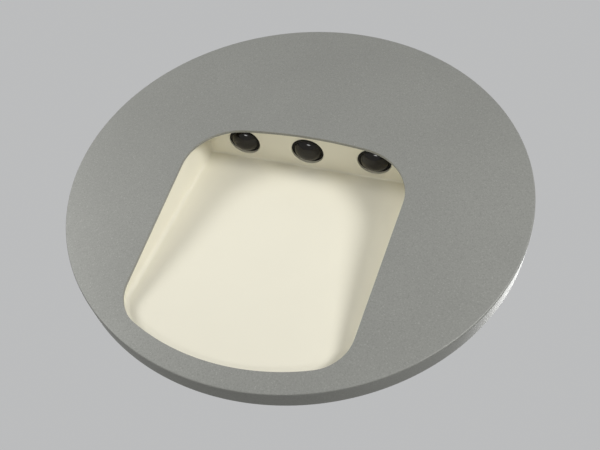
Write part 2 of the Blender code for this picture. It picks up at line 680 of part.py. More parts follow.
def make_lenses():
    """Each lens is a dome under the roof with a barrel and a flange above it."""
    base = ROOF_LEVEL - FIT - BEZEL_HEIGHT / 2
    sphere = (LENS_RADIUS ** 2 + LENS_DOME ** 2) / (2 * LENS_DOME)
    opening = math.asin(LENS_RADIUS / sphere)
    dome = arc((0, base - LENS_DOME + sphere), sphere, opening - math.pi / 2, -math.pi / 2, 7)
    profile = [(0, LENS_TOP), (LENS_FLANGE_RADIUS, LENS_TOP), (LENS_FLANGE_RADIUS, LENS_FLANGE_LOW),
               (LENS_RADIUS, LENS_FLANGE_LOW), *dome[:-1], (0, base - LENS_DOME)]
    bezel_low, bezel_top = ROOF_LEVEL - FIT - BEZEL_HEIGHT, ROOF_LEVEL - FIT
    inner = LENS_RADIUS + FIT
    soft = BEZEL_HEIGHT / 2
    bezel = [(inner, bezel_low), (inner, bezel_top), (BEZEL_RADIUS, bezel_top),
             (BEZEL_RADIUS, bezel_top - soft), (BEZEL_RADIUS - soft, bezel_low)]
    for side, x in LENS_PLACES:
        at = Matrix.Translation((x, 0, LENS_LEVEL)) @ UP
        turned("lens_" + side, profile, DARK_LENS, at)
        turned("lens_bezel_" + side, bezel, BLACK, at, closed=True)
        ring("lens_seal_" + side, LENS_FLANGE_RADIUS - LENS_SEAL_WIDTH, LENS_FLANGE_RADIUS,
             SEAL_LOW, SEAL_LOW + LENS_SEAL, RUBBER, at)


# Light engine

def make_emitters():
    half = EMITTER_SIDE / 2
    dome_top = EMITTER_LOW + EMITTER_DOME
    root = dome_top + EMITTER_BASE / 2
    for side, x in LENS_PLACES:
        body = block("led_" + side, (x - half, dome_top, LENS_LEVEL - half),
                     (x + half, dome_top + EMITTER_BASE, LENS_LEVEL + half), EMITTER_YELLOW)
        bulge = arc((0, dome_top + MERGE), EMITTER_DOME + MERGE, 0, -math.pi / 2, EMITTER_POINTS)
        profile = [(0, root), (EMITTER_DOME, root), *bulge[:-1], (0, EMITTER_LOW)]
        at = Matrix.Translation((x, 0, LENS_LEVEL)) @ UP
        join(body, turned("led_dome_" + side, profile, EMITTER_YELLOW, at, SMALL_COUNT))


def make_board():
    """Board, pad and heat sink share the two screws between the lenses."""
    rear = ENGINE_FRONT - BOARD_LENGTH
    board = block("led_board", (-BOARD_HALF_WIDTH, BOARD_LOW, rear),
                  (BOARD_HALF_WIDTH, BOARD_TOP, ENGINE_FRONT), BOARD_WHITE)
    pad = block("thermal_pad", (-BOARD_HALF_WIDTH, PAD_LOW, rear),
                (BOARD_HALF_WIDTH, PAD_LOW + PAD, ENGINE_FRONT), GREY_PAD)
    sink = make_heat_sink()
    for word, side in SIDES:
        at = Matrix.Translation((side * SINK_SCREW_X, 0, LENS_LEVEL)) @ UP
        for piece in (board, pad, sink):
            cut(piece, rod(f"{piece.name}_hole_{side}", M2 + HOLE_CLEARANCE, BOARD_LOW - OVERRUN,
                           SINK_TOP + OVERRUN, None, at, TINY_COUNT))
        pan_screw("heat_sink_screw_" + word, SINK_TOP + FIT, ROOF_TOP + FIT, M2, M2_HEAD, M2_HEAD_HEIGHT, at)
    half, top = CONNECTOR_WIDTH / 2, BOARD_LOW - FIT
    low = top - CONNECTOR_HEIGHT
    connector = block("led_connector", (-half, low, rear + FIT), (half, top, rear + FIT + CONNECTOR_LENGTH),
                      WHITE)
    wall = CONNECTOR_WALL
    cut(connector, block("connector_mouth", (wall - half, low + wall, rear - OVERRUN),
                         (half - wall, top - wall, rear + CONNECTOR_LENGTH / 2), None))


def make_heat_sink():
    """An extruded comb: fins over a base, whose front end reaches into the lamp chamber."""
    comb = [(-SINK_HALF_WIDTH, SINK_LOW), (SINK_HALF_WIDTH, SINK_LOW), (SINK_HALF_WIDTH, SINK_TOP)]
    for i in range(SINK_FINS):
        middle = SINK_FIN_PITCH * ((SINK_FINS - 1) / 2 - i)
        right, left = middle + SINK_FIN / 2, middle - SINK_FIN / 2
        top = SINK_TOP + SINK_FIN_HEIGHT
        comb += [(right, SINK_TOP), (right, top), (left, top), (left, SINK_TOP)]
    comb.append((-SINK_HALF_WIDTH, SINK_TOP))
    sink = slab("heat_sink", comb, ENGINE_FRONT - SINK_LENGTH, HOUSING_FLANGE - FIT, ALUMINIUM)
    tongue = block("heat_sink_tongue", (-SINK_HALF_WIDTH, SINK_LOW, ENGINE_FRONT - BOARD_LENGTH),
                   (SINK_HALF_WIDTH, SINK_TOP, ENGINE_FRONT), ALUMINIUM)
    return join(sink, tongue)


# Screws

def pan_screw(name, seat, end, radius, head, head_height, matrix):
    """A pan-head screw: head above the seat, shank down to its end, a round socket in its head."""
    top = seat + head_height
    dome = head_height * HEAD_DOME_SHARE
    profile = [(0, top - RECESS_DEPTH), (RECESS, top - RECESS_DEPTH), (RECESS, top), (head - dome, top),
               (head, top - dome), (head, seat), (radius, seat), (radius, end + radius / 2),
               (radius / 2, end), (0, end)]
    return turned(name, profile, STEEL, matrix, TINY_COUNT)


def flat_screw(name, seat, end, radius, head, matrix):
    """A countersunk screw whose head lies flush below the seat."""
    cone = head - radius
    profile = [(0, seat - RECESS_DEPTH), (RECESS, seat - RECESS_DEPTH), (RECESS, seat), (head, seat),
               (radius, seat - cone), (radius, end + radius / 2), (radius / 2, end), (0, end)]
    return turned(name, profile, STEEL, matrix, TINY_COUNT)


# Housing

def make_housing():
    """A cast can with a stepped mouth, a flange with a seal groove, and cooling ribs."""
    shelf = CAN_WALL - COLLAR_DEPTH
    bore, groove_floor = CAN_RADIUS - CAN_WALL, HOUSING_FLANGE - GROOVE_DEPTH
    groove_outer = GROOVE_RADIUS + GROOVE_WIDTH
    profile = [(0, BACK_INSIDE), (bore, BACK_INSIDE), (bore, shelf), (COLLAR_BORE, shelf),
               (COLLAR_BORE, HOUSING_FLANGE), (GROOVE_RADIUS, HOUSING_FLANGE), (GROOVE_RADIUS, groove_floor),
               (groove_outer, groove_floor), (groove_outer, HOUSING_FLANGE), (FLANGE_RADIUS, HOUSING_FLANGE),
               (FLANGE_RADIUS, 0), (COLLAR_RADIUS, 0), (COLLAR_RADIUS, -COLLAR_DEPTH),
               (CAN_RADIUS, -COLLAR_DEPTH), (CAN_RADIUS, BACK_OUTSIDE + CAN_CHAMFER),
               (CAN_RADIUS - CAN_CHAMFER, BACK_OUTSIDE), (0, BACK_OUTSIDE)]
    can = turned("housing", profile, CAST, steps=BROAD_COUNT)
    ribs = []
    for i in range(RIB_COUNT):
        angle = 2 * math.pi * (i + 0.5) / RIB_COUNT
        if abs(math.sin(angle)) < math.sin(RIB_FREE_ANGLE):
            continue
        low = (CAN_RADIUS - CAN_WALL / 2, -RIB_THICKNESS / 2, BACK_OUTSIDE + CAN_WALL)
        high = (CAN_RADIUS + RIB_HEIGHT, RIB_THICKNESS / 2, -COLLAR_DEPTH - CAN_WALL)
        ribs.append(block(f"rib_{i}", low, high, None, Matrix.Rotation(angle, 4, "Z")))
    join(can, joined("housing_ribs", ribs, CAST))
    for side in (-1, 1):
        near, far = sorted((side * PAD_FACE, side * (PAD_FACE - PAD_SINK)))
        join(can, block(f"bracket_pad_{side}", (near, -PAD_HALF_HEIGHT, -PAD_REAR),
                        (far, PAD_HALF_HEIGHT, -PAD_FRONT), CAST))
        for depth in BRACKET_SCREWS:
            at = Matrix.Translation((0, 0, -depth)) @ Matrix.Rotation(side * 90 * DEGREE, 4, "Y")
            cut(can, rod(f"bracket_thread_{side}_{depth:.4f}", M2 + HOLE_CLEARANCE,
                         PAD_FACE - PAD_SINK + MERGE, PAD_FACE + OVERRUN, None, at, TINY_COUNT))
    boss_top = BACK_INSIDE + REAR_BOSS_HEIGHT
    for name, (x, y) in rear_bosses().items():
        at = Matrix.Translation((x, y, 0))
        join(can, rod("boss_" + name, REAR_BOSS_RADIUS, BACK_INSIDE - CAN_WALL / 2, boss_top, CAST, at))
        cut(can, rod("thread_" + name, M3 + HOLE_CLEARANCE, BACK_INSIDE, boss_top + OVERRUN, None, at,
                     TINY_COUNT))
    for angle in BOSS_ANGLES:
        x, y = on_circle(BOSS_CIRCLE, angle)
        at = Matrix.Translation((x, y, 0)) @ Matrix.Rotation(math.pi, 4, "X")
        radius, head = M3 + HOLE_CLEARANCE, M3_HEAD + HOLE_CLEARANCE
        cone = [(0, OVERRUN), (head, OVERRUN), (head, 0), (radius, radius - head),
                (radius, -HOUSING_FLANGE - OVERRUN), (0, -HOUSING_FLANGE - OVERRUN)]
        cut(can, turned(f"countersink_{angle}", cone, None, at, TINY_COUNT))
    cut(can, scoop("scoop_relief", SCOOP_WALL + FIT, FLOOR_WALL + FIT, LIP_FRONT, None))
    cut(can, rod("gland_hole", GLAND_RADIUS + FIT, BACK_OUTSIDE - OVERRUN, BACK_INSIDE + OVERRUN, None,
                 steps=TURN_COUNT))
    return can


def rear_bosses():
    """Places of the bosses on the housing's rear wall."""
    middle = DRIVER_TOP + DRIVER_HEIGHT / 2
    reach = DRIVER_HALF_WIDTH + DRIVER_LUG / 2
    return {"driver_left": (-reach, -middle), "driver_right": (reach, -middle), "earth": EARTH_PLACE}


def make_assembly_screws():
    """Four countersunk screws run from behind, through both flanges, into the faceplate."""
    for number, angle in enumerate(BOSS_ANGLES, 1):
        x, y = on_circle(BOSS_CIRCLE, angle)
        at = Matrix.Translation((x, y, 0)) @ Matrix.Rotation(math.pi, 4, "X")
        flat_screw(f"assembly_screw_{number}", -SCREW_SINK, -SHEET_BACK + FIT * 2, M3, M3_HEAD, at)


def make_seals():
    near = FLANGE_RADIUS + WALL_GASKET_GAP
    ring("wall_gasket", near, near + WALL_GASKET_WIDTH, 0, SHEET_BACK - FIT, RUBBER, steps=BROAD_COUNT)
    low = HOUSING_FLANGE - GROOVE_DEPTH + FIT
    inner = GROOVE_RADIUS + FIT
    ring("housing_seal", inner, inner + GROOVE_WIDTH - FIT * 2, low, HOUSING_FLANGE, RUBBER,
         steps=BROAD_COUNT)


# Driver, terminal block and gland

def make_driver():
    back = BACK_INSIDE + REAR_BOSS_HEIGHT + FIT
    front = back + DRIVER_THICKNESS
    low, high = -DRIVER_TOP - DRIVER_HEIGHT, -DRIVER_TOP
    case = block("driver", (-DRIVER_HALF_WIDTH, low, back), (DRIVER_HALF_WIDTH, high, front), BLACK)
    rounded(case, DRIVER_CORNER / 2)
    reach = DRIVER_HALF_WIDTH - DRIVER_CORNER
    for i in range(DRIVER_RIBS):
        y = low + DRIVER_HEIGHT * (i + 1) / (DRIVER_RIBS + 1)
        join(case, block(f"driver_rib_{i}", (-reach, y - DRIVER_RIB / 2, front - DRIVER_RIB),
                         (reach, y + DRIVER_RIB / 2, front + DRIVER_RIB), BLACK))
    half, lug_front = DRIVER_LUG / 2, back + DRIVER_LUG_THICKNESS
    for name, (x, y) in rear_bosses().items():
        if name == "earth":
            continue
        near, far = sorted((math.copysign(reach, x), x + math.copysign(half, x)))
        lug = block("lug_" + name, (near, y - half, back + MERGE), (far, y + half, lug_front), BLACK)
        join(case, rounded(lug, DRIVER_LUG_THICKNESS * LUG_EDGE_SHARE))
        at = Matrix.Translation((x, y, 0))
        cut(case, rod("hole_" + name, M3 + HOLE_CLEARANCE, back - OVERRUN, lug_front + OVERRUN, None, at,
                      TINY_COUNT))
        pan_screw(name.replace("_", "_screw_"), lug_front + FIT, BACK_INSIDE + FIT, M3, M3_HEAD,
                  M3_HEAD_HEIGHT, at)


def pole_x(i):
    return BLOCK_PITCH * (i - (BLOCK_POLES - 1) / 2)


def make_terminal_block():
    """Three poles on a common web. Each pole has a wire tunnel and two clamp screws in wells."""
    back = BACK_INSIDE + FIT
    front = back + BLOCK_THICKNESS
    top = BLOCK_LOW + BLOCK_HEIGHT
    reach = BLOCK_PITCH * BLOCK_POLES / 2 - BLOCK_GAP
    body = block("terminal_block", (-reach, BLOCK_LOW + BLOCK_GAP, back),
                 (reach, top - BLOCK_GAP, back + BLOCK_WEB), WHITE)
    middle = (back + BLOCK_WEB + front) / 2
    half = (BLOCK_PITCH - BLOCK_GAP) / 2
    for i in range(BLOCK_POLES):
        x = pole_x(i)
        pole = block(f"pole_{i}", (x - half, BLOCK_LOW, back), (x + half, top, front), WHITE)
        join(body, rounded(pole, BLOCK_GAP / 2))
        for end, y in enumerate((BLOCK_LOW, top)):
            inward = 1 if end == 0 else -1
            low, high = sorted((y - inward * OVERRUN, y + inward * BLOCK_TUNNEL_DEPTH))
            cut(body, rod(f"tunnel_{i}_{end}", BLOCK_TUNNEL, low, high, None,
                          Matrix.Translation((x, 0, middle)) @ UP, TINY_COUNT))
            at = Matrix.Translation((x, y + inward * BLOCK_HEIGHT * BLOCK_SCREW_SHARE, 0))
            well = front - M2_HEAD_HEIGHT * 2
            cut(body, rod(f"well_{i}_{end}", M2_HEAD + FIT, well, front + OVERRUN, None, at, TINY_COUNT))
            head_top = front - M2_HEAD_HEIGHT / 2
            join(body, rod(f"clamp_{i}_{end}", M2_HEAD, well - FIT, head_top, BRASS, at, TINY_COUNT))
            cut(body, block(f"slot_{i}_{end}", (-M2_HEAD, -RECESS / 2, head_top - RECESS_DEPTH),
                            (M2_HEAD, RECESS / 2, head_top + OVERRUN), None, at))


def hexagon(across_flats):
    corner = across_flats / 2 / math.cos(30 * DEGREE)
    return [on_circle(corner, 60 * i) for i in range(6)]


def make_gland():
    """Body through the rear wall, washer and lock nut each side of it, and a cap over its grip ring."""
    washer_back = BACK_OUTSIDE - FIT - GLAND_WASHER
    ring("gland_washer", GLAND_RADIUS + FIT, GLAND_HEX / 2, washer_back, BACK_OUTSIDE - FIT, RUBBER)
    hex_front = washer_back - FIT
    hex_back = hex_front - GLAND_HEX_HEIGHT
    stub_end = hex_back - GLAND_STUB_LENGTH
    inner_end = BACK_INSIDE + FIT + GLAND_NUT_HEIGHT + GLAND_INNER_STAND
    body = slab("gland_body", hexagon(GLAND_HEX), hex_back, hex_front, BLACK)
    cut(body, rod("hex_bore", (GLAND_BORE + GLAND_STUB) / 2, hex_back - OVERRUN, hex_front + OVERRUN, None))
    middle = hex_back + GLAND_HEX_HEIGHT / 2
    tube = [(GLAND_BORE, inner_end), (GLAND_RADIUS, inner_end), (GLAND_RADIUS, middle), (GLAND_STUB, middle),
            (GLAND_STUB, stub_end), (GLAND_STUB_BORE, stub_end), (GLAND_STUB_BORE, hex_back),
            (GLAND_BORE, hex_back)]
    join(body, turned("gland_tube", tube, BLACK, closed=True))
    nut_back, nut_front = BACK_INSIDE + FIT, BACK_INSIDE + FIT + GLAND_NUT_HEIGHT
    nut = slab("gland_nut", hexagon(GLAND_NUT_HEX), nut_back, nut_front, BLACK)
    cut(nut, rod("nut_bore", GLAND_RADIUS + FIT, nut_back - OVERRUN, nut_front + OVERRUN, None,
                 steps=TURN_COUNT))
    cap_front = hex_back - FIT
    cap_back = cap_front - CAP_LENGTH
    cap_inner = CAP_RADIUS - CAP_WALL
    cap_floor = cap_back + CAP_WALL
    round_off = arc((cap_inner, cap_floor), CAP_WALL, 0, -math.pi / 2, CAP_POINTS)
    shell = [(CAP_MOUTH, cap_back), (CAP_MOUTH, cap_floor), (cap_inner, cap_floor), (cap_inner, cap_front),
             (CAP_RADIUS, cap_front), *round_off]
    cap = turned("gland_cap", shell, BLACK, closed=True)
    grips = []
    for i in range(CAP_GRIPS):
        grips.append(block(f"grip_{i}", (CAP_RADIUS - CAP_GRIP / 2, -CAP_GRIP, cap_floor),
                           (CAP_RADIUS + CAP_GRIP, CAP_GRIP, cap_front - CAP_GRIP), None,
                           Matrix.Rotation(2 * math.pi * i / CAP_GRIPS, 4, "Z")))
    join(cap, joined("cap_grips", grips, BLACK))
    outer = GLAND_STUB_BORE - FIT
    ring("gland_grip_ring", GRIP_RING_BORE, outer, cap_floor + FIT, hex_back - FIT - (outer - GRIP_RING_BORE),
         RUBBER)


def make_leads():
    """Two leads from the light engine to the driver, two from the driver to the terminals, one earth."""
    board_rear = ENGINE_FRONT - BOARD_LENGTH
    plug_y = BOARD_LOW - FIT - CONNECTOR_HEIGHT / 2
    plug_z = board_rear + CONNECTOR_LENGTH / 2 - FIT
    driver_front = BACK_INSIDE + REAR_BOSS_HEIGHT + FIT + DRIVER_THICKNESS
    driver_top = -DRIVER_TOP + FIT
    slope = SCOOP_FLOOR - FLOOR_WALL - LEAD_BACK
    for name, side, finish in (("led_lead_red", -1, RED), ("led_lead_black", 1, BLACK)):
        x = side * LEAD_SPACING / 2
        entry = driver_front - DRIVER_THICKNESS / 3
        route = [(x, plug_y, plug_z), (x, plug_y, board_rear - LEAD_RADIUS * 2),
                 (x, plug_y - LEAD_RADIUS, board_rear - LEAD_BACK),
                 (x + LEAD_BACK, ROOF_TOP - LEAD_BACK, slope), (x + LEAD_BACK, 0, slope - LEAD_SPACING),
                 (x + LEAD_BACK * 2, driver_top + LEAD_BACK, entry),
                 (x + LEAD_BACK * 2, driver_top, entry)]
        wire(name, smooth_route(route), LEAD_RADIUS, finish, 1)
    back = BACK_INSIDE + FIT
    terminal_z = back + (BLOCK_WEB + BLOCK_THICKNESS) / 2
    deepest = BLOCK_LOW + BLOCK_TUNNEL_DEPTH - FIT
    for name, pole, finish in (("supply_lead_brown", 0, BROWN), ("supply_lead_blue", 1, BLUE)):
        x = pole_x(pole)
        away = -DRIVER_HALF_WIDTH / 2 + pole * LEAD_SPACING
        entry = driver_front - DRIVER_THICKNESS / 2
        route = [(away, driver_top, entry), (away, driver_top + LEAD_BACK, entry),
                 (away, 0, terminal_z + LEAD_SPACING),
                 (x, BLOCK_LOW - LEAD_BACK, terminal_z + LEAD_SPACING / 2), (x, BLOCK_LOW, terminal_z),
                 (x, deepest, terminal_z)]
        wire(name, smooth_route(route), LEAD_RADIUS, finish, 1)
    make_earth(terminal_z, deepest)


def make_earth(terminal_z, deepest):
    """A ring tag under a screw on the housing, and its lead to the third pole."""
    x, y = EARTH_PLACE
    at = Matrix.Translation((x, y, 0))
    seat = BACK_INSIDE + REAR_BOSS_HEIGHT + FIT
    tag = rod("earth_tag", TAG_RADIUS, seat, seat + TAG, BRASS, at)
    neck = LEAD_RADIUS + TAG / 2
    join(tag, block("tag_barrel", (-neck, 0, seat), (neck, TAG_RADIUS * 2, seat + TAG), BRASS, at))
    cut(tag, rod("tag_hole", M3 + HOLE_CLEARANCE, seat - OVERRUN, seat + TAG + OVERRUN, None, at, TINY_COUNT))
    pan_screw("earth_screw", seat + TAG + FIT, BACK_INSIDE + FIT, M3, M3_HEAD, M3_HEAD_HEIGHT, at)
    start = seat + TAG + FIT + LEAD_RADIUS
    tail = y + TAG_RADIUS * 2
    pole = pole_x(BLOCK_POLES - 1)
    route = [(x, tail - TAG, start), (x, tail + LEAD_SPACING / 2, start + LEAD_SPACING / 2),
             (x - LEAD_BACK, tail + LEAD_SPACING / 2, terminal_z),
             (pole + LEAD_BACK, BLOCK_LOW - LEAD_BACK, terminal_z),
             (pole, BLOCK_LOW - LEAD_SPACING / 2, terminal_z), (pole, deepest, terminal_z)]
    wire("earth_lead", smooth_route(route), LEAD_RADIUS, GREEN, 1)


# Fixing clips

def mirrored(points, side):
    """Flips an outline drawn for the right-hand clip to the left, keeping its direction."""
    return points if side > 0 else [(-x, y) for x, y in reversed(points)]


def make_clip(side):
    """One sprung arm on its bracket. Outlines are drawn in the plane square to the pin: X out from
    the light, Y out of the wall."""
    word = "right" if side > 0 else "left"
    profile_plane = Matrix(((1, 0, 0, 0), (0, 0, -1, 0), (0, 1, 0, 0), (0, 0, 0, 1)))
    make_bracket(word, side, profile_plane)
    pivot = Vector((side * PIVOT_X, 0, -PIVOT_DEPTH))
    pin_low = -BRACKET_HALF_HEIGHT - FIT - PIN_HEAD_HEIGHT
    ear = BRACKET_HALF_HEIGHT + FIT
    pin_profile = [(0, ear + PIN_HEAD_HEIGHT), (PIN_HEAD, ear + PIN_HEAD_HEIGHT), (PIN_HEAD, ear),
                   (PIN_RADIUS, ear), (PIN_RADIUS, pin_low), (0, pin_low)]
    turned("pivot_pin_" + word, pin_profile, STEEL, Matrix.Translation(pivot) @ UP, SMALL_COUNT)
    make_arm(word, side, pivot, profile_plane)
    make_spring(word, side, pivot)


def make_bracket(word, side, plane):
    """A pressed steel channel: a base on the housing's pad and two ears for the pin."""
    near, far = sorted((side * BRACKET_INNER, side * BRACKET_FACE))
    base = block("bracket_" + word, (near, -BRACKET_HALF_HEIGHT, -BRACKET_REAR),
                 (far, BRACKET_HALF_HEIGHT, -BRACKET_FRONT), STEEL)
    ear = arc((PIVOT_X, -PIVOT_DEPTH), EAR_RADIUS, EAR_SWEEP, -EAR_SWEEP, CORNER_COUNT + 2)
    ear += [(BRACKET_INNER + BRACKET_SHEET / 2, -BRACKET_REAR + BRACKET_SHEET),
            (BRACKET_INNER + BRACKET_SHEET / 2, -BRACKET_FRONT - BRACKET_SHEET)]
    for end in (-1, 1):
        edge = end * BRACKET_HALF_HEIGHT
        low, high = sorted((edge, edge - end * BRACKET_SHEET))
        join(base, slab(f"ear_{word}_{end}", mirrored(ear, side), -high + MERGE, -low - MERGE, STEEL, plane))
    pivot = Matrix.Translation((side * PIVOT_X, 0, -PIVOT_DEPTH)) @ UP
    reach = BRACKET_HALF_HEIGHT + OVERRUN
    cut(base, rod("ear_holes_" + word, PIN_RADIUS + HOLE_CLEARANCE, -reach, reach, None, pivot, SMALL_COUNT))
    for end, depth in zip(("front", "rear"), BRACKET_SCREWS):
        at = Matrix.Translation((0, 0, -depth)) @ Matrix.Rotation(side * 90 * DEGREE, 4, "Y")
        cut(base, rod(f"base_hole_{word}_{end}", M2 + HOLE_CLEARANCE, BRACKET_INNER - OVERRUN,
                      BRACKET_FACE + OVERRUN, None, at, TINY_COUNT))
        pan_screw(f"bracket_screw_{word}_{end}", BRACKET_FACE + FIT, PAD_FACE - PAD_SINK + FIT * 2, M2,
                  M2_HEAD, M2_HEAD_HEIGHT, at)


def arm_frame(side, pivot):
    """The arm's own frame: X along the blade at rest, Y square to it, Z along the pin."""
    lean = Matrix.Rotation(-ARM_REST if side > 0 else ARM_REST - math.pi, 4, "Y")
    return Matrix.Translation(pivot) @ lean


def make_arm(word, side, pivot, plane):
    """A moulded arm: a split boss on the pin, a tapering blade, a heel that stops it at rest."""
    turn = math.asin(ARM_LOW / ARM_BOSS)
    boss = arc((0, 0), ARM_BOSS, -turn, math.asin(ARM_HIGH / ARM_BOSS) - 2 * math.pi, 20)
    heel = [(ARM_HEEL_HALF, 0), (ARM_HEEL_HALF, ARM_HEEL), (-ARM_HEEL_HALF, ARM_HEEL), (-ARM_HEEL_HALF, 0)]
    blade = [(ARM_LENGTH, ARM_HIGH), (ARM_LENGTH, -ARM_LOW)]
    outline = boss + blade
    flip = 1 if side > 0 else -1
    matrix = arm_frame(side, pivot) @ plane
    drawn = [(x, y * flip) for x, y in (outline if side > 0 else reversed(outline))]
    arm = slab("arm_" + word, drawn, -ARM_HALF_HEIGHT, ARM_HALF_HEIGHT, BLACK, matrix)
    nub = [(x, y * flip) for x, y in (heel if side > 0 else reversed(heel))]
    join(arm, slab("heel_" + word, nub, -ARM_HALF_HEIGHT + MERGE, ARM_HALF_HEIGHT - MERGE, BLACK, matrix))
    local = arm_frame(side, pivot)
    cut(arm, rod("arm_bore_" + word, PIN_RADIUS + HOLE_CLEARANCE, -ARM_HALF_HEIGHT - OVERRUN,
                 ARM_HALF_HEIGHT + OVERRUN, None, local @ UP, SMALL_COUNT))
    back = ARM_BOSS + ARM_HEEL
    cut(arm, block("arm_slot_" + word, (-back, -ARM_SLOT_HALF_HEIGHT, -back),
                   (ARM_SLOT_LENGTH, ARM_SLOT_HALF_HEIGHT, back), None, local))
    for end in (-1, 1):
        beyond = end * (ARM_HALF_HEIGHT + OVERRUN)
        wedge = [(ARM_SLOT_LENGTH, beyond), (ARM_SLOT_LENGTH, end * ARM_HALF_HEIGHT),
                 (ARM_LENGTH - TIP_LENGTH - FIT, end * ARM_TIP_HALF_HEIGHT),
                 (ARM_LENGTH + OVERRUN, end * ARM_TIP_HALF_HEIGHT), (ARM_LENGTH + OVERRUN, beyond)]
        wedge = wedge if end < 0 else wedge[::-1]
        cut(arm, slab(f"arm_taper_{word}_{end}", wedge, -back, back, None, local))
    make_tip(word, side, local, flip)


def make_tip(word, side, local, flip):
    """A soft sleeve over the arm's end, which presses on the wall's back."""
    start, end = ARM_LENGTH - TIP_LENGTH, ARM_LENGTH + TIP_WALL + FIT
    low, high = sorted((-flip * (ARM_LOW + FIT + TIP_WALL), flip * (ARM_HIGH + FIT + TIP_WALL)))
    reach = ARM_TIP_HALF_HEIGHT + FIT + TIP_WALL
    tip = block("arm_tip_" + word, (start, -reach, low), (end, reach, high), RUBBER, local)
    rounded(tip, TIP_WALL * TIP_EDGE_SHARE)
    low, high = sorted((-flip * (ARM_LOW + FIT), flip * (ARM_HIGH + FIT)))
    reach = ARM_TIP_HALF_HEIGHT + FIT
    cut(tip, block("tip_hollow_" + word, (start - OVERRUN, -reach, low), (ARM_LENGTH + FIT, reach, high),
                   None, local))


def make_spring(word, side, pivot):
    """A torsion spring round the pin: one leg lies along the bracket, the other along the arm."""
    start = math.pi
    sweep = ARM_REST - 90 * DEGREE - start + 2 * math.pi * (SPRING_TURNS + 1)
    count = int(SPRING_POINTS * sweep / (2 * math.pi))
    route = [(-SPRING_RADIUS, SPRING_FIXED_LEG, -SPRING_HALF_LENGTH)]
    for i in range(count + 1):
        angle = start + sweep * i / count
        along = SPRING_HALF_LENGTH * (2 * i / count - 1)
        route.append((SPRING_RADIUS * math.cos(angle), SPRING_RADIUS * math.sin(angle), along))
    last = Vector(route[-1])
    leg = Vector((math.cos(ARM_REST), math.sin(ARM_REST), 0)) * SPRING_MOVING_LEG
    route.append(tuple(last + leg))
    gap = spring_gap(route)
    print(f"spring_{word}: least gap to itself {gap / MM:.2f} mm")
    points = [(side * x, along, y) for x, y, along in route]
    return wire("spring_" + word, points, SPRING_WIRE / 2, STEEL, 1, Matrix.Translation(pivot))


def spring_gap(route):
    """The least distance between two turns of the wire, less the wire's own diameter."""
    points = [Vector(p) for p in route]
    apart = SPRING_POINTS // 2
    nearest = min((a - b).length for i, a in enumerate(points) for b in points[i + apart:])
    return nearest - SPRING_WIRE


make_faceplate()
make_reflector()
make_lenses()
make_emitters()
make_board()
make_housing()
make_assembly_screws()
make_seals()
make_driver()
make_terminal_block()
make_gland()
make_leads()
for side_of_light in (-1, 1):
    make_clip(side_of_light)
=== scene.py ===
import math

import bmesh
import bpy
from mathutils import Matrix, Vector


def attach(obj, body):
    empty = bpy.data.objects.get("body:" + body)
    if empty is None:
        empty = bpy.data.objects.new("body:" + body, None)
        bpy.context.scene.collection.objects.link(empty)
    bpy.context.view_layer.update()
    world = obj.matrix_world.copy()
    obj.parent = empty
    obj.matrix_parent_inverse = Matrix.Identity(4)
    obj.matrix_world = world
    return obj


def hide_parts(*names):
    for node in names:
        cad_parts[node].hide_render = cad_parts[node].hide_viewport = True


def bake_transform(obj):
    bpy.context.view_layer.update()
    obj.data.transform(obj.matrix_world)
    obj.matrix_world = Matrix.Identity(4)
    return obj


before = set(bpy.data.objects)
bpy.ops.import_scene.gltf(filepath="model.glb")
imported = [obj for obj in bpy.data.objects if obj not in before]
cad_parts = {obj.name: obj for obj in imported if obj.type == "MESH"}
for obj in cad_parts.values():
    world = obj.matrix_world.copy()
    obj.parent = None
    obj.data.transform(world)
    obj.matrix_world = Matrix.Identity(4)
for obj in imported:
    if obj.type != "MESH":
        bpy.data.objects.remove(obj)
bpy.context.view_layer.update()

MM = 0.001
DEGREE = math.pi / 180
QUARTER = 90 * DEGREE

# Camera
# It stands below the light and a little to its right, tilted, as the photograph was taken.
# The lens is given as its focal length in pixels of a picture 600 wide.
PICTURE_WIDTH = 600
FOCAL_PIXELS = 640
CENTRE_OFFSET = (43.67 / PICTURE_WIDTH, -17.68 / PICTURE_WIDTH)
CAMERA_PLACE = Vector((56.91, -163.17, -127.71)) * MM
CAMERA_TARGET = Vector((-5.98, -7.0, -15.83)) * MM
CAMERA_ROLL = 23.43 * DEGREE
SENSOR = 36.0
NEAR = 5 * MM
FAR = 10.0


def added(name, data):
    """A new object in the scene."""
    made = bpy.data.objects.new(name, data)
    bpy.context.scene.collection.objects.link(made)
    return made


camera_data = bpy.data.cameras.new("camera")
camera_data.sensor_width = SENSOR
camera_data.lens = SENSOR * FOCAL_PIXELS / PICTURE_WIDTH
camera_data.shift_x, camera_data.shift_y = CENTRE_OFFSET
camera_data.clip_start, camera_data.clip_end = NEAR, FAR
camera = added("camera", camera_data)
ahead = (CAMERA_TARGET - CAMERA_PLACE).normalized()
level_right = ahead.cross(Vector((0, 0, 1))).normalized()
level_up = level_right.cross(ahead)
picture_right = level_right * math.cos(CAMERA_ROLL) + level_up * math.sin(CAMERA_ROLL)
picture_up = level_up * math.cos(CAMERA_ROLL) - level_right * math.sin(CAMERA_ROLL)
turn = Matrix((picture_right, picture_up, -ahead)).transposed().to_4x4()
camera.matrix_world = Matrix.Translation(CAMERA_PLACE) @ turn
bpy.context.scene.camera = camera

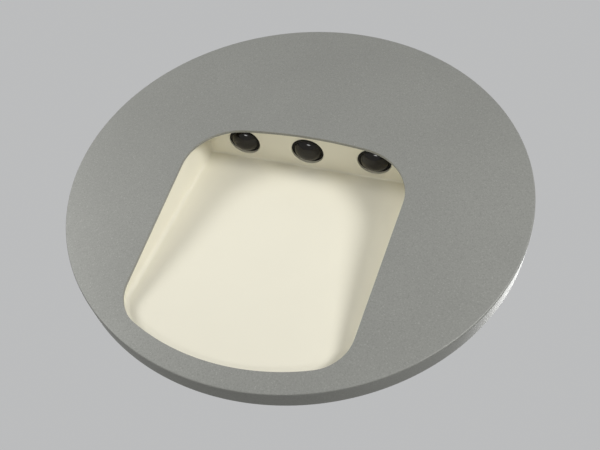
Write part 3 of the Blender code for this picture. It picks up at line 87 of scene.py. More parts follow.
# Studio
# A plain pale floor lies well below the light. Two soft shaded lamps light its front and two its
# back, a slim one low in front glints in the lenses, and the pale room fills the rest.
FLOOR_DROP = 0.5
FLOOR_HALF = 3.0
FLOOR_COLOUR = (0.78, 0.78, 0.77)
FLOOR_SHOWN = (0.36, 0.36, 0.355)
ROOM_COLOUR = (1.0, 1.0, 0.985)
ROOM_LIGHT = 0.19
SHOWN_ROOM = (0.5, 0.505, 0.51)
LAMP_SPREAD = 50 * DEGREE
LAMPS = (
    ("left", (-0.58, -0.44, 0.08), (0.28, 0.4), 0.26),
    ("right", (0.56, -0.5, 0.1), (0.28, 0.4), 0.35),
    ("glint", (0.06, -0.4, -0.47), (0.3, 0.06), 0.042),
    ("rear_left", (-0.42, 0.58, 0.3), (0.3, 0.36), 0.24),
    ("rear_right", (0.4, 0.6, 0.34), (0.3, 0.36), 0.2),
)
CLEAR_COAT_ROUGHNESS = 0.1


def shade(colour, factor=1.0):
    """A colour times a factor, as a shader's socket takes it."""
    return (*[part * factor for part in colour], 1.0)


class Socket:
    """An output of a shader node. Sums and products of sockets and numbers add Math nodes."""

    def __init__(self, tree, output):
        self.tree = tree
        self.output = output

    def node(self, kind, settings=None, inputs=None, output=0):
        """Any other node: its settings first, then the values or links of its inputs."""
        made = self.tree.nodes.new(kind)
        for key, value in (settings or {}).items():
            setattr(made, key, value)
        for key, value in (inputs or {}).items():
            if isinstance(value, Socket):
                self.tree.links.new(value.output, made.inputs[key])
            else:
                made.inputs[key].default_value = value
        return Socket(self.tree, made.outputs[output])

    def maths(self, operation, *values):
        return self.node("ShaderNodeMath", {"operation": operation}, dict(enumerate(values)))

    def __add__(self, other):
        return self.maths("ADD", self, other)

    __radd__ = __add__

    def __mul__(self, other):
        return self.maths("MULTIPLY", self, other)

    def __sub__(self, other):
        return self.maths("SUBTRACT", self, other)

    def __rsub__(self, other):
        return self.maths("SUBTRACT", other, self)

    def __gt__(self, other):
        return self.maths("GREATER_THAN", self, other)

    def between(self, low, high):
        """0 below the first value, 1 above the second, smooth between them."""
        return self.node("ShaderNodeMapRange", {"interpolation_type": "SMOOTHSTEP"},
                         {"Value": self, "From Min": low, "From Max": high})

    def blend(self, first, second):
        """The first colour where this is 0, the second where it is 1."""
        return self.node("ShaderNodeMix", {"data_type": "RGBA"}, {0: self, 6: first, 7: second}, 2)

    def tints(self, colour, low, high):
        """A colour times the first factor where this is 0, and times the second where it is 1."""
        return self.blend(shade(colour, low), shade(colour, high))


def shader_tree(owner):
    owner.use_nodes = True
    return owner.node_tree


def seen_rays(tree):
    """1 where a ray shows the surface to the eye, straight, in a gloss or through glass, else 0."""
    rays = tree.nodes.new("ShaderNodeLightPath")
    camera_ray, glossy_ray, clear_ray = [Socket(tree, rays.outputs[f"Is {word} Ray"])
                                         for word in ("Camera", "Glossy", "Transmission")]
    return camera_ray.maths("MAXIMUM", camera_ray, glossy_ray.maths("MAXIMUM", glossy_ray, clear_ray))


def new_look(name, roughness, metallic=0.0, coat=0.0):
    """A material, its shader, and the object's own coordinates in metres to paint it with."""
    made = bpy.data.materials.new(name)
    tree = shader_tree(made)
    shader = tree.nodes["Principled BSDF"]
    for key, value in (("Roughness", roughness), ("Metallic", metallic), ("Coat Weight", coat),
                       ("Coat Roughness", CLEAR_COAT_ROUGHNESS)):
        shader.inputs[key].default_value = value
    return made, shader, Socket(tree, tree.nodes.new("ShaderNodeTexCoord").outputs["Object"])


def drive(shader, **inputs):
    """Links sockets to the shader's inputs, named with spaces for underscores."""
    for key, value in inputs.items():
        value.tree.links.new(value.output, shader.inputs[key.replace("_", " ")])


def place(x, y, z=0.0):
    return Matrix.Translation((x, y, z))


def mesh_object(name, bm):
    """The object of a mesh that has been drawn."""
    mesh = bpy.data.meshes.new(name)
    bm.to_mesh(mesh)
    bm.free()
    return added(name, mesh)


room = bpy.data.worlds.new("room")
bpy.context.scene.world = room
room_tree = shader_tree(room)
room_tree.nodes.clear()
shown = seen_rays(room_tree)
light = shown.node("ShaderNodeBackground", {}, {"Color": shade(ROOM_COLOUR), "Strength": ROOM_LIGHT})
seen = shown.node("ShaderNodeBackground", {}, {"Color": shade(SHOWN_ROOM)})
mixed = shown.node("ShaderNodeMixShader", {}, {0: shown, 1: light, 2: seen})
room_out = room_tree.nodes.new("ShaderNodeOutputWorld")
room_tree.links.new(mixed.output, room_out.inputs["Surface"])

for name, lamp_place, (width, height), power in LAMPS:
    lamp_data = bpy.data.lights.new(name + "_lamp", "AREA")
    lamp_data.shape = "ELLIPSE"
    lamp_data.size, lamp_data.size_y = width, height
    lamp_data.energy = power
    lamp_data.spread = LAMP_SPREAD
    lamp = added(name + "_lamp", lamp_data)
    lamp.location = lamp_place
    lamp.rotation_euler = (-Vector(lamp_place)).to_track_quat("-Z", "Y").to_euler()

bpy.context.scene.view_settings.view_transform = "Standard"

# The lamps' shades keep most light off the floor, so the floor shows a little paler than it is lit.
floor_look, floor_shader, floor_start = new_look("floor", 0.9)
floor_shader.inputs["Base Color"].default_value = shade(FLOOR_COLOUR)
floor_shader.inputs["Emission Strength"].default_value = 1.0
drive(floor_shader, Emission_Color=seen_rays(floor_start.tree).tints(FLOOR_SHOWN, 0.0, 1.0))
floor_mesh = bmesh.new()
bmesh.ops.create_grid(floor_mesh, size=FLOOR_HALF, matrix=place(0, 0, -FLOOR_DROP))
floor = mesh_object("floor", floor_mesh)
floor.data.materials.append(floor_look)

# Faceplate
# A dish pressed from 1 mm sheet, powder coated silver grey with a fine sparkle. A window is cut
# through it with a crisp edge, and four bosses behind take the assembly screws.
WALL_TURN = Matrix.Rotation(QUARTER, 4, "X")  # from X right, Y up, Z out of the wall
FIT = 0.3 * MM
OVERRUN = 1 * MM
PLATE_RADIUS = 75 * MM
PLATE_HEIGHT = 7 * MM
PLATE_SHEET = 1 * MM
RIM_WALL = 1.5 * MM
RIM_EDGE = 0.5 * MM
RIM_BEND_SHARE = 0.6
BOSS_CIRCLE = 63.2 * MM
BOSS_RADIUS = 3.2 * MM
BOSS_END = 3.9 * MM
BOSS_ANGLES = (40, 140, 200, 340)
M3 = 1.5 * MM
HOLE_CLEARANCE = 0.35 * MM
M3_HOLE = M3 + HOLE_CLEARANCE
SHEET_BACK = PLATE_HEIGHT - PLATE_SHEET
WINDOW_TOP = 17.35 * MM
WINDOW_HALF_TOP = 39 * MM
WINDOW_HALF_LOW = 34.2 * MM
WINDOW_BOW_RADIUS = 150 * MM
WINDOW_TOE_RADIUS = 68.75 * MM
WINDOW_TOP_FILLET = 18.5 * MM
WINDOW_TOE_FILLET = 13.5 * MM
TOP_STEPS = 12
SIDE_STEPS = 16
FILLET_POINTS = 25
TOE_POINTS = 19
MERGE = 0.01 * MM
FINE = 256
EDGE_ANGLE = 32 * DEGREE
CORNER_SHARE = 0.45
COAT = (0.284, 0.287, 0.266)
SPARKLE_SIZE = 0.42 * MM
PEEL_SIZE = 1.1 * MM
PEEL_DEPTH = 0.03 * MM
CLOUD_SIZE = 40 * MM


def noise(start, size, detail=2.0, roughness=0.5):
    """Soft noise whose features are about the given size."""
    return start.node("ShaderNodeTexNoise", {}, {"Vector": start, "Scale": 1 / size, "Detail": detail,
                                                 "Roughness": roughness}, "Fac")


def bump(height, depth, strength=1.0):
    return height.node("ShaderNodeBump", {}, {"Strength": strength, "Distance": depth, "Height": height},
                       "Normal")


def evaluated_mesh(piece):
    """A piece's mesh, with its modifiers or its curve worked out."""
    bpy.context.view_layer.update()
    graph = bpy.context.evaluated_depsgraph_get()
    return bpy.data.meshes.new_from_object(piece.evaluated_get(graph))


def settle(piece):
    """Makes a piece's modifiers part of its mesh and shades it smooth up to its sharp edges."""
    mesh = evaluated_mesh(piece)
    piece.modifiers.clear()
    piece.data = mesh
    mesh.shade_smooth()
    mesh.set_sharp_from_angle(angle=EDGE_ANGLE)
    return piece


def from_bmesh(name, bm, matrix=Matrix()):
    """A piece drawn in the wall's frame, stood upright. Its object stays at the origin."""
    bm.transform(WALL_TURN @ matrix)
    bmesh.ops.recalc_face_normals(bm, faces=bm.faces)
    return settle(mesh_object(name, bm))


def combine(piece, operation, tools):
    for tool in tools:
        step = piece.modifiers.new(tool.name, "BOOLEAN")
        step.object = tool
        step.operation = operation
        step.solver = "EXACT"
    settle(piece)
    for tool in tools:
        bpy.data.objects.remove(tool)
    return piece


def join(piece, *tools):
    return combine(piece, "UNION", tools)


def cut(piece, *tools):
    return combine(piece, "DIFFERENCE", tools)


def gathered(name, pieces):
    """Several separate solids in one mesh, for one cut or join."""
    bm = bmesh.new()
    for piece in pieces:
        bm.from_mesh(piece.data)
        bpy.data.objects.remove(piece)
    return settle(mesh_object(name, bm))


def eased(profile, radius, count=4):
    """Rounds the corners of a profile, apart from its two ends."""
    points = [Vector(point) for point in profile]
    path = [points[0]]
    for before, here, after in zip(points, points[1:], points[2:]):
        back, on = before - here, after - here
        reach = min(radius, back.length * CORNER_SHARE, on.length * CORNER_SHARE)
        start, finish = here + back.normalized() * reach, here + on.normalized() * reach
        for i in range(count + 1):
            t = i / count
            path.append(start * (1 - t) ** 2 + here * (2 * t * (1 - t)) + finish * t ** 2)
    return [tuple(point) for point in path + [points[-1]]]


def turned(name, profile, matrix=Matrix(), steps=96, closed=False):
    """Turns a profile of (radius, height) about Z. Points on the axis are merged."""
    bm = bmesh.new()
    verts = [bm.verts.new((radius, 0, height)) for radius, height in profile]
    edges = [bm.edges.new(pair) for pair in zip(verts, verts[1:] + (verts[:1] if closed else []))]
    bmesh.ops.spin(bm, geom=verts + edges, cent=(0, 0, 0), axis=(0, 0, 1), angle=2 * math.pi, steps=steps,
                   use_merge=True)
    bmesh.ops.remove_doubles(bm, verts=bm.verts, dist=MERGE)
    return from_bmesh(name, bm, matrix)


def rod(name, radius, low, high, matrix=Matrix(), steps=48):
    """A round bar along Z between two levels."""
    bm = bmesh.new()
    bmesh.ops.create_cone(bm, cap_ends=True, segments=steps, radius1=radius, radius2=radius, depth=high - low,
                          matrix=place(0, 0, (low + high) / 2))
    return from_bmesh(name, bm, matrix)


def rods(places, radius, low, high, steps=48):
    """Like round bars at several places, in one mesh."""
    return gathered("rods", [rod("rod", radius, low, high, at, steps) for at in places])


def slab(name, outline, low, high, matrix=Matrix()):
    """A flat outline with thickness."""
    bm = bmesh.new()
    face = bm.faces.new([bm.verts.new((x, y, low)) for x, y in outline])
    raised = bmesh.ops.extrude_face_region(bm, geom=[face])
    moved = [item for item in raised["geom"] if isinstance(item, bmesh.types.BMVert)]
    bmesh.ops.translate(bm, vec=(0, 0, high - low), verts=moved)
    return from_bmesh(name, bm, matrix)


def finished(piece, look, replaces, body="root"):
    """Gives a piece its look and hides the model part it replaces. It rides on its body, or on none."""
    piece.data.materials.clear()
    piece.data.materials.append(look)
    if body:
        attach(piece, body)
    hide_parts(replaces)
    return piece


def arc(centre, radius, start, end, count):
    """Points along an arc, both ends included."""
    angles = [start + (end - start) * i / (count - 1) for i in range(count)]
    return [(centre[0] + radius * math.cos(a), centre[1] + radius * math.sin(a)) for a in angles]


def on_circle(radius, degrees):
    return radius * math.cos(degrees * DEGREE), radius * math.sin(degrees * DEGREE)


def line_meets_circle(point, along, centre, radius):
    """The further of the two points where a line meets a circle."""
    offset = point - centre
    half = offset.dot(along)
    return point + along * (-half + math.sqrt(half ** 2 - offset.length_squared + radius ** 2))


def window_outline(grow=0.0, top=WINDOW_TOP, top_fillet=WINDOW_TOP_FILLET, bow=WINDOW_BOW_RADIUS):
    """The window's outline, offset outwards by grow. Its top is bowed or flat, its sides draw in
    downwards, and its toe follows the plate's edge. Points run clockwise from the top."""
    toe = WINDOW_TOE_RADIUS + grow
    low_y = -math.sqrt(WINDOW_TOE_RADIUS ** 2 - WINDOW_HALF_LOW ** 2)
    upper = Vector((WINDOW_HALF_TOP, WINDOW_TOP))
    lower = Vector((WINDOW_HALF_LOW, low_y))
    down = (lower - upper).normalized()
    out = Vector((-down.y, down.x))
    top, radius = top + grow, top_fillet + grow
    inner = upper + out * (grow - radius)
    if bow:
        bow_centre = Vector((0, top - bow - grow))
        corner = line_meets_circle(inner, -down, bow_centre, bow + grow - radius)
        start = QUARTER - (corner - bow_centre).angle(Vector((0, 1)))
        crest = arc(bow_centre, bow + grow, QUARTER, start, TOP_STEPS + 1)[:-1]
    else:
        corner = inner + down * ((top - radius - inner.y) / down.y)
        start = QUARTER
        crest = [(corner.x * i / TOP_STEPS, top) for i in range(TOP_STEPS)]
    slant = math.atan2(out.y, out.x)
    fillet = WINDOW_TOE_FILLET + grow
    low_corner = line_meets_circle(upper + out * (grow - fillet), down, Vector((0, 0)), toe - fillet)
    foot = math.atan2(low_corner.y, low_corner.x)
    edge_top = corner + out * radius
    edge_low = low_corner + out * fillet
    side_points = [tuple(edge_top.lerp(edge_low, i / SIDE_STEPS)) for i in range(1, SIDE_STEPS)]
    right = crest + arc(corner, radius, start, slant, FILLET_POINTS) + side_points
    right += arc(low_corner, fillet, slant, foot, FILLET_POINTS)
    right += arc((0, 0), toe, foot, -QUARTER, TOE_POINTS)[1:]
    return right + [(-x, y) for x, y in right[-2:0:-1]]


coat_look, coat_shader, coat_start = new_look("silver_grey_coat", 0.5, 0.25)
grain = noise(coat_start, SPARKLE_SIZE, 3.0, 0.75)
peel = noise(coat_start, PEEL_SIZE, 2.0, 0.6)
cloud = noise(coat_start, CLOUD_SIZE)
flake = grain.between(0.57, 0.72)
pitted = grain.between(0.3, 0.5).blend(shade(COAT, 0.82), cloud.between(0.3, 0.7).tints(COAT, 0.97, 1.03))
drive(coat_shader, Base_Color=flake.blend(pitted, shade(COAT, 1.28)), Roughness=0.54 - flake * 0.18,
      Normal=bump(grain * 0.5 + peel * 0.5, PEEL_DEPTH, 0.8))

plate_inner = PLATE_RADIUS - RIM_WALL
sheet_bend = eased([(plate_inner, 0), (plate_inner, SHEET_BACK), (0, SHEET_BACK)], RIM_WALL * RIM_BEND_SHARE)
rim_edge = arc((PLATE_RADIUS - RIM_EDGE, PLATE_HEIGHT - RIM_EDGE), RIM_EDGE, QUARTER, 0, 7)
plate_profile = [(0, PLATE_HEIGHT), *rim_edge, (PLATE_RADIUS, 0), *sheet_bend]
plate = turned("faceplate_dish", plate_profile, steps=FINE)
boss_places = [place(*on_circle(BOSS_CIRCLE, angle)) for angle in BOSS_ANGLES]
join(plate, rods(boss_places, BOSS_RADIUS, BOSS_END, SHEET_BACK + PLATE_SHEET / 2))
cut(plate, rods(boss_places, M3_HOLE, BOSS_END - OVERRUN, SHEET_BACK, 32))
cut(plate, slab("window", window_outline(), SHEET_BACK - OVERRUN, PLATE_HEIGHT + OVERRUN))
finished(plate, coat_look, "faceplate")

# Scoop reflector
# One cream moulding. Its scoop has a flat roof for the lenses, drafted sides and a floor that
# ramps out to the toe, and behind it stand the flange, the lamp chamber and two screw bosses.
SCOOP_REVEAL = 0.4 * MM
SCOOP_DEPTH = 16.6 * MM
SCOOP_TOE_STEP = 0.35 * MM
SCOOP_TOP_FILLET = 1.2 * MM
SCOOP_WALL = 1.5 * MM
FLOOR_WALL = 1 * MM
FLOOR_FILLET_TOP = 0.7 * MM
FLOOR_FILLET_LOW = 1.6 * MM
FLOOR_FILLET_SHARE = 0.8
SIDE_DRAFT = 4 * DEGREE
PROUD = 0.05 * MM
FLANGE_RADIUS = 70.2 * MM
FLANGE_BACK = 2.2 * MM
FLANGE_FRONT = 3.6 * MM
CHAMBER_HALF_WIDTH = 36.5 * MM
CHAMBER_WALL = 0.8 * MM
CHAMBER_TOP = 30.7 * MM
SINK_BOSS_RADIUS = 2.3 * MM
PILOT_RADIUS = 1.4 * MM
LENS_PITCH = 23.8 * MM
LENS_DEPTH = 8.4 * MM
LENS_RADIUS = 5 * MM
LENS_CANT = 6 * DEGREE
RING_RADIUS = 5.8 * MM
POCKET_EDGE = 0.1 * MM
SEAT_CUT = 0.1 * MM
BOARD_LOW = 23.9 * MM
LIP_FRONT = SHEET_BACK - FIT
SCOOP_FLOOR = PLATE_HEIGHT - SCOOP_DEPTH
LENS_LEVEL = PLATE_HEIGHT - LENS_DEPTH
SCOOP_TOP = WINDOW_TOP + SCOOP_REVEAL
SCOOP_HEIGHT = SCOOP_TOP + WINDOW_TOE_RADIUS
ROOF_LEVEL = SCOOP_TOP + SCOOP_REVEAL
ROOF_TOP = SCOOP_TOP + SCOOP_WALL - SEAT_CUT
UP = Matrix.Rotation(-QUARTER, 4, "X")
CREAM = (0.86, 0.826, 0.69)
MOTTLE_SIZE = 25 * MM
CREAM_GRAIN = 0.5 * MM
CREAM_RELIEF = 0.01 * MM


def block(name, low, high, matrix=Matrix()):
    """A box between two corners."""
    low, high = Vector(low), Vector(high)
    bm = bmesh.new()
    bmesh.ops.create_cube(bm, size=1)
    bmesh.ops.scale(bm, vec=high - low, verts=bm.verts)
    bmesh.ops.translate(bm, vec=(high + low) / 2, verts=bm.verts)
    return from_bmesh(name, bm, matrix)


def hole(radius, low, high, matrix=Matrix(), steps=48):
    """The cutter for a hole right through, between two levels."""
    return rod("hole", radius, low - OVERRUN, high + OVERRUN, matrix, steps)


def floor_level(y, deeper=0.0):
    """Height of the scoop's ramp out of the wall, at a height on the wall."""
    rise = LIP_FRONT - SCOOP_TOE_STEP - SCOOP_FLOOR
    return SCOOP_FLOOR + rise * ((SCOOP_TOP - y) / SCOOP_HEIGHT) - deeper


def scoop(name, grow, deeper, front, rounds=14):
    """The scoop as a solid, lofted ring by ring: its mouth, its drafted sides, a fillet that
    widens down the sides, and the floor."""
    mouth = [Vector(p) for p in window_outline(grow, SCOOP_TOP, SCOOP_TOP_FILLET, None)]
    bm = bmesh.new()
    rings = [[bm.verts.new((p.x, p.y, front)) for p in mouth]]
    inward = []
    for before, after in zip(mouth[-1:] + mouth, mouth[1:] + mouth[:1]):
        along = (after - before).normalized()
        inward.append(Vector((along.y, -along.x)))
    for step in range(rounds + 1):
        bend = step / rounds * QUARTER
        level = []
        for here, normal in zip(mouth, inward):
            drop = min((SCOOP_TOP - here.y) / SCOOP_HEIGHT * 2, 1)
            depth = LIP_FRONT - floor_level(here.y, deeper)
            fillet = FLOOR_FILLET_TOP + (FLOOR_FILLET_LOW - FLOOR_FILLET_TOP) * max(drop, 0)
            fillet = min(fillet, depth * FLOOR_FILLET_SHARE)
            draft = math.tan(SIDE_DRAFT) * abs(normal.x) * (depth - fillet)
            at = here + normal * (draft + fillet * (1 - math.cos(bend)))
            z = floor_level(at.y, deeper) + fillet * (1 - math.sin(bend))
            level.append(bm.verts.new((at.x, at.y, min(z, LIP_FRONT - MERGE))))
        rings.append(level)
    for upper, lower in zip(rings, rings[1:]):
        for a, b, c, d in zip(upper, upper[1:] + upper[:1], lower[1:] + lower[:1], lower):
            bm.faces.new((a, b, c, d))
    bm.faces.new(rings[0])
    bm.faces.new(rings[-1])
    bmesh.ops.triangulate(bm, faces=bm.faces)
    return from_bmesh(name, bm)


cream_look, cream_shader, cream_start = new_look("cream_moulding", 0.42)
mottle = noise(cream_start, MOTTLE_SIZE)
cream_grain = noise(cream_start, CREAM_GRAIN, 3.0)
drive(cream_shader, Base_Color=mottle.between(0.3, 0.7).tints(CREAM, 0.985, 1.0),
      Roughness=0.4 + cream_grain * 0.08, Normal=bump(cream_grain, CREAM_RELIEF, 0.4))

reflector = scoop("scoop_reflector", SCOOP_WALL, FLOOR_WALL, LIP_FRONT)
collar = window_outline(SCOOP_WALL + PROUD, SCOOP_TOP, SCOOP_TOP_FILLET, None)
join(reflector, rod("flange", FLANGE_RADIUS, FLANGE_BACK, FLANGE_FRONT, steps=FINE),
     slab("collar", collar, FLANGE_BACK + PROUD, LIP_FRONT - PROUD),
     block("chamber", (-CHAMBER_HALF_WIDTH, SCOOP_TOP, FLANGE_BACK + PROUD * 2),
           (CHAMBER_HALF_WIDTH, CHAMBER_TOP, LIP_FRONT - PROUD * 2)))
half = CHAMBER_HALF_WIDTH - CHAMBER_WALL
cut(reflector, scoop("hollow", SCOOP_REVEAL, 0.0, LIP_FRONT + OVERRUN),
    block("chamber_hollow", (-half, ROOF_TOP, SCOOP_FLOOR - FLOOR_WALL - OVERRUN),
          (half, CHAMBER_TOP - CHAMBER_WALL, LIP_FRONT - CHAMBER_WALL)))
lens_places = [(word, place(x, 0, LENS_LEVEL) @ UP)
               for word, x in (("left", -LENS_PITCH), ("centre", 0.0), ("right", LENS_PITCH))]
cant_pivot = place(0, -RING_RADIUS, ROOF_LEVEL)
canted = cant_pivot @ Matrix.Rotation(LENS_CANT, 4, "X") @ cant_pivot.inverted()
under_roof = SCOOP_TOP - OVERRUN * 3
pocket_places = [at @ canted for _, at in lens_places]
cut(reflector, rods(pocket_places, RING_RADIUS + POCKET_EDGE, under_roof, ROOF_LEVEL, 96))
sink_screw_places = [place(side * LENS_PITCH / 2, 0, LENS_LEVEL) @ UP for side in (-1, 1)]
join(reflector, rods(sink_screw_places, SINK_BOSS_RADIUS, ROOF_TOP - SEAT_CUT * 2, BOARD_LOW - FIT))
holes = [rod("lens_hole", LENS_RADIUS + FIT, under_roof, ROOF_TOP + OVERRUN, at, 96) for _, at in lens_places]
holes += [rod("pilot", PILOT_RADIUS, ROOF_TOP, BOARD_LOW + OVERRUN, at) for at in sink_screw_places]
holes += [hole(M3_HOLE, FLANGE_BACK, FLANGE_FRONT, at) for at in boss_places]
cut(reflector, gathered("holes", holes))
finished(reflector, cream_look, "reflector")

# Lenses
# Three polished domes, so dark that they look black until a lamp glints in them. Each has a
# barrel through the roof, and leans a little inwards in a matt black ring let into the roof.
LENS_DOME = 2.8 * MM
LENS_FLANGE_RADIUS = 5.9 * MM
LENS_FLANGE_LOW = 20.35 * MM
LENS_TOP = 21.35 * MM
DOME_RADIUS = 5 * MM
DOME_RIM = 0.3 * MM
RING_HEIGHT = 0.5 * MM
RING_FIT = 0.05 * MM
BARREL_RELIEF = 0.3 * MM
LENS_IOR = 1.42
SMOKED = (0.006, 0.004, 0.002)
SMOKE_SIZE = 6 * MM
RING_SPECULAR = 0.15
RING_BLACKS = ((0.004, 0.004, 0.003), (0.01, 0.009, 0.008))
RING_GRAIN = 0.3 * MM
RING_RELIEF = 0.01 * MM

lens_look, lens_shader, lens_start = new_look("dark_lens", 0.03)
lens_shader.inputs["IOR"].default_value = LENS_IOR
smoke = noise(lens_start, SMOKE_SIZE)
drive(lens_shader, Base_Color=smoke.between(0.3, 0.7).tints(SMOKED, 0.7, 1.4))
ring_look, ring_shader, ring_start = new_look("black_ring", 0.4)
ring_shader.inputs["Specular IOR Level"].default_value = RING_SPECULAR
ring_grain = noise(ring_start, RING_GRAIN, 3.0)
drive(ring_shader, Base_Color=ring_grain.blend(*[shade(black) for black in RING_BLACKS]),
      Normal=bump(ring_grain, RING_RELIEF, 0.5))

dome_level = ROOF_LEVEL - DOME_RIM
sphere_radius = (DOME_RADIUS ** 2 + LENS_DOME ** 2) / (2 * LENS_DOME)
dome_angle = math.asin(DOME_RADIUS / sphere_radius)
dome = arc((0, dome_level - LENS_DOME + sphere_radius), sphere_radius, dome_angle - QUARTER, -QUARTER, 33)
ring_low, ring_top, soft = ROOF_LEVEL - RING_HEIGHT, ROOF_LEVEL - RING_FIT, RING_HEIGHT / 2
ring_bore, stem = DOME_RADIUS + RING_FIT, LENS_RADIUS - BARREL_RELIEF
barrel_profile = [(0, LENS_TOP), (LENS_FLANGE_RADIUS, LENS_TOP), (LENS_FLANGE_RADIUS, LENS_FLANGE_LOW),
                  (LENS_RADIUS, LENS_FLANGE_LOW), (LENS_RADIUS, ROOF_TOP), (0, ROOF_TOP)]
dome_profile = [(0, ROOF_TOP + OVERRUN / 2), (stem, ROOF_TOP + OVERRUN / 2), (stem, ring_top),
                (DOME_RADIUS, ring_top), *dome[:-1], (0, dome_level - LENS_DOME)]
ring_profile = [(ring_bore, ring_low), (ring_bore, ring_top), (RING_RADIUS, ring_top),
                *arc((RING_RADIUS - soft, ring_low + soft), soft, 0, -QUARTER, 7)]
for word, at in lens_places:
    lens = turned("lens_dome_" + word, dome_profile, at @ canted, 128)
    finished(join(lens, turned("barrel", barrel_profile, at)), lens_look, "lens_" + word)
    finished(turned("lens_ring_" + word, ring_profile, at @ canted, closed=True), ring_look,
             "lens_bezel_" + word)

# Lens seals
# A flat ring of black rubber lies between each lens's flange and the roof, and keeps water out.
LENS_SEAL = 0.6 * MM
LENS_SEAL_WIDTH = 0.55 * MM
SEAL_LOW = 19.45 * MM
RUBBER = (0.022, 0.021, 0.02)
RUBBER_GRAIN = (0.2 * MM, 0.012 * MM)
MOULD_CLOUD = 7 * MM


def moulded(name, colour, roughness, grain, spread=0.15):
    """Moulded plastic or rubber: its colour clouds slightly, under a grain of a size and depth."""
    look, shader, start = new_look(name, roughness)
    size, depth = grain
    fine = noise(start, size, 3.0, 0.6)
    tone = noise(start, MOULD_CLOUD) * 0.6 + fine * 0.4
    drive(shader, Roughness=fine * 0.16 + (roughness - 0.08), Normal=bump(fine, depth),
          Base_Color=tone.between(0.3, 0.7).tints(colour, 1 - spread, 1 + spread))
    return look


def seal_ring(name, node, look, inner, outer, low, high, edge, matrix=Matrix(), steps=96):
    """A finished ring of rubber or foam, whose section is a box with rounded corners."""
    middle = (inner + outer) / 2
    box = [(middle, low), (inner, low), (inner, high), (outer, high), (outer, low), (middle, low)]
    finished(turned(name, eased(box, edge), matrix, steps), look, node)


rubber_look = moulded("black_rubber", RUBBER, 0.72, RUBBER_GRAIN)
for word, at in lens_places:
    seal_ring(f"lens_seal_{word}_ring", "lens_seal_" + word, rubber_look,
              LENS_FLANGE_RADIUS - LENS_SEAL_WIDTH, LENS_FLANGE_RADIUS, SEAL_LOW, SEAL_LOW + LENS_SEAL,
              LENS_SEAL / 4, at)

# Light sources
# Three LEDs are soldered under one board, one over each lens. Each is a white ceramic base with
# a yellow silicone dome over its chip.
EMITTER_SIDE = 3.4 * MM
EMITTER_BASE = 0.7 * MM
EMITTER_DOME = 1.25 * MM
EMITTER_LOW = 21.65 * MM
DOME_TOP = EMITTER_LOW + EMITTER_DOME
CERAMIC = (0.78, 0.78, 0.75)
PHOSPHOR = (0.82, 0.62, 0.12)
LED_GRAIN = 0.15 * MM
LED_RELIEF = 0.005 * MM
BEVEL_ANGLE = 50 * DEGREE


def soften(piece, width, segments=3):
    """Rounds a piece's sharp edges."""
    step = piece.modifiers.new("soften", "BEVEL")
    step.width = width
    step.segments = segments
    step.limit_method = "ANGLE"
    step.angle_limit = BEVEL_ANGLE
    step.use_clamp_overlap = True
    return settle(piece)


led_look, led_shader, led_start = new_look("led_dome_and_base", 0.3, coat=0.5)
led_height = led_start.node("ShaderNodeSeparateXYZ", {}, {0: led_start}, "Z")
ceramic = led_height > DOME_TOP - MERGE
led_grain = noise(led_start, LED_GRAIN)
drive(led_shader, Base_Color=ceramic.blend(led_grain.tints(PHOSPHOR, 0.9, 1.1), shade(CERAMIC)),
      Roughness=ceramic * 0.3 + 0.25, Normal=bump(led_grain, LED_RELIEF))

led_root = DOME_TOP + EMITTER_BASE / 2
led_profile = [(0, led_root), (EMITTER_DOME, led_root),
               *arc((0, DOME_TOP + MERGE), EMITTER_DOME + MERGE, 0, -QUARTER, 17)[:-1], (0, EMITTER_LOW)]
half = EMITTER_SIDE / 2
for word, at in lens_places:
    base = block("led_base", (-half, -half, DOME_TOP), (half, half, DOME_TOP + EMITTER_BASE), at)
    soften(base, EMITTER_BASE / 5)
    base.name = f"led_{word}_source"
    finished(join(base, turned("dome", led_profile, at, 64)), led_look, "led_" + word)

# Board
# The circuit board has an aluminium core and a white lacquer, through which the copper tracks
# show faintly. Two screws clamp it, through a soft grey pad, to the heat sink.
BOARD_TOP = 25.5 * MM
BOARD_HALF_WIDTH = 32.5 * MM
BOARD_CORNER = 1.5 * MM
ENGINE_FRONT = 4.6 * MM
BOARD_REAR = ENGINE_FRONT - 17.5 * MM
M2 = 1.05 * MM
M2_HOLE = M2 + HOLE_CLEARANCE
PAD_LOW = 25.8 * MM
PAD_TOP = 26.3 * MM
SINK_TOP = 29.6 * MM
TRACK_WIDTH = 1.6 * MM
TRACK_PITCH = 4.2 * MM
LACQUER = (0.76, 0.77, 0.73)
LACQUER_GRAIN = 0.3 * MM
LACQUER_RELIEF = 0.02 * MM
PAD_GREY = (0.33, 0.38, 0.4)
PAD_GRAIN = (0.4 * MM, 0.02 * MM)


def rounded_box(half_width, low, high, radius):
    """A rectangle's outline with round corners, about X = 0, between two heights."""
    corners = ((half_width - radius, high - radius, 90), (half_width - radius, low + radius, 0),
               (radius - half_width, low + radius, -90), (radius - half_width, high - radius, -180))
    return [point for x, y, turn in corners
            for point in arc((x, y), radius, turn * DEGREE, (turn - 90) * DEGREE, 9)]


def clamped(piece):
    """Cuts the two screws' holes through a piece of the light engine."""
    return cut(piece, *[hole(M2_HOLE, BOARD_LOW, SINK_TOP, at) for at in sink_screw_places])


board_look, board_shader, board_start = new_look("white_lacquer", 0.32, coat=0.3)
across = board_start.node("ShaderNodeSeparateXYZ", {}, {0: board_start}, "Y")
track = across.maths("PINGPONG", across, TRACK_PITCH / 2) > (TRACK_PITCH - TRACK_WIDTH) / 2
board_grain = noise(board_start, LACQUER_GRAIN)
drive(board_shader, Base_Color=track.tints(LACQUER, 1.0, 0.9),
      Normal=bump(track * 0.8 + board_grain * 0.2, LACQUER_RELIEF))
pad_look = moulded("thermal_pad_grey", PAD_GREY, 0.8, PAD_GRAIN)

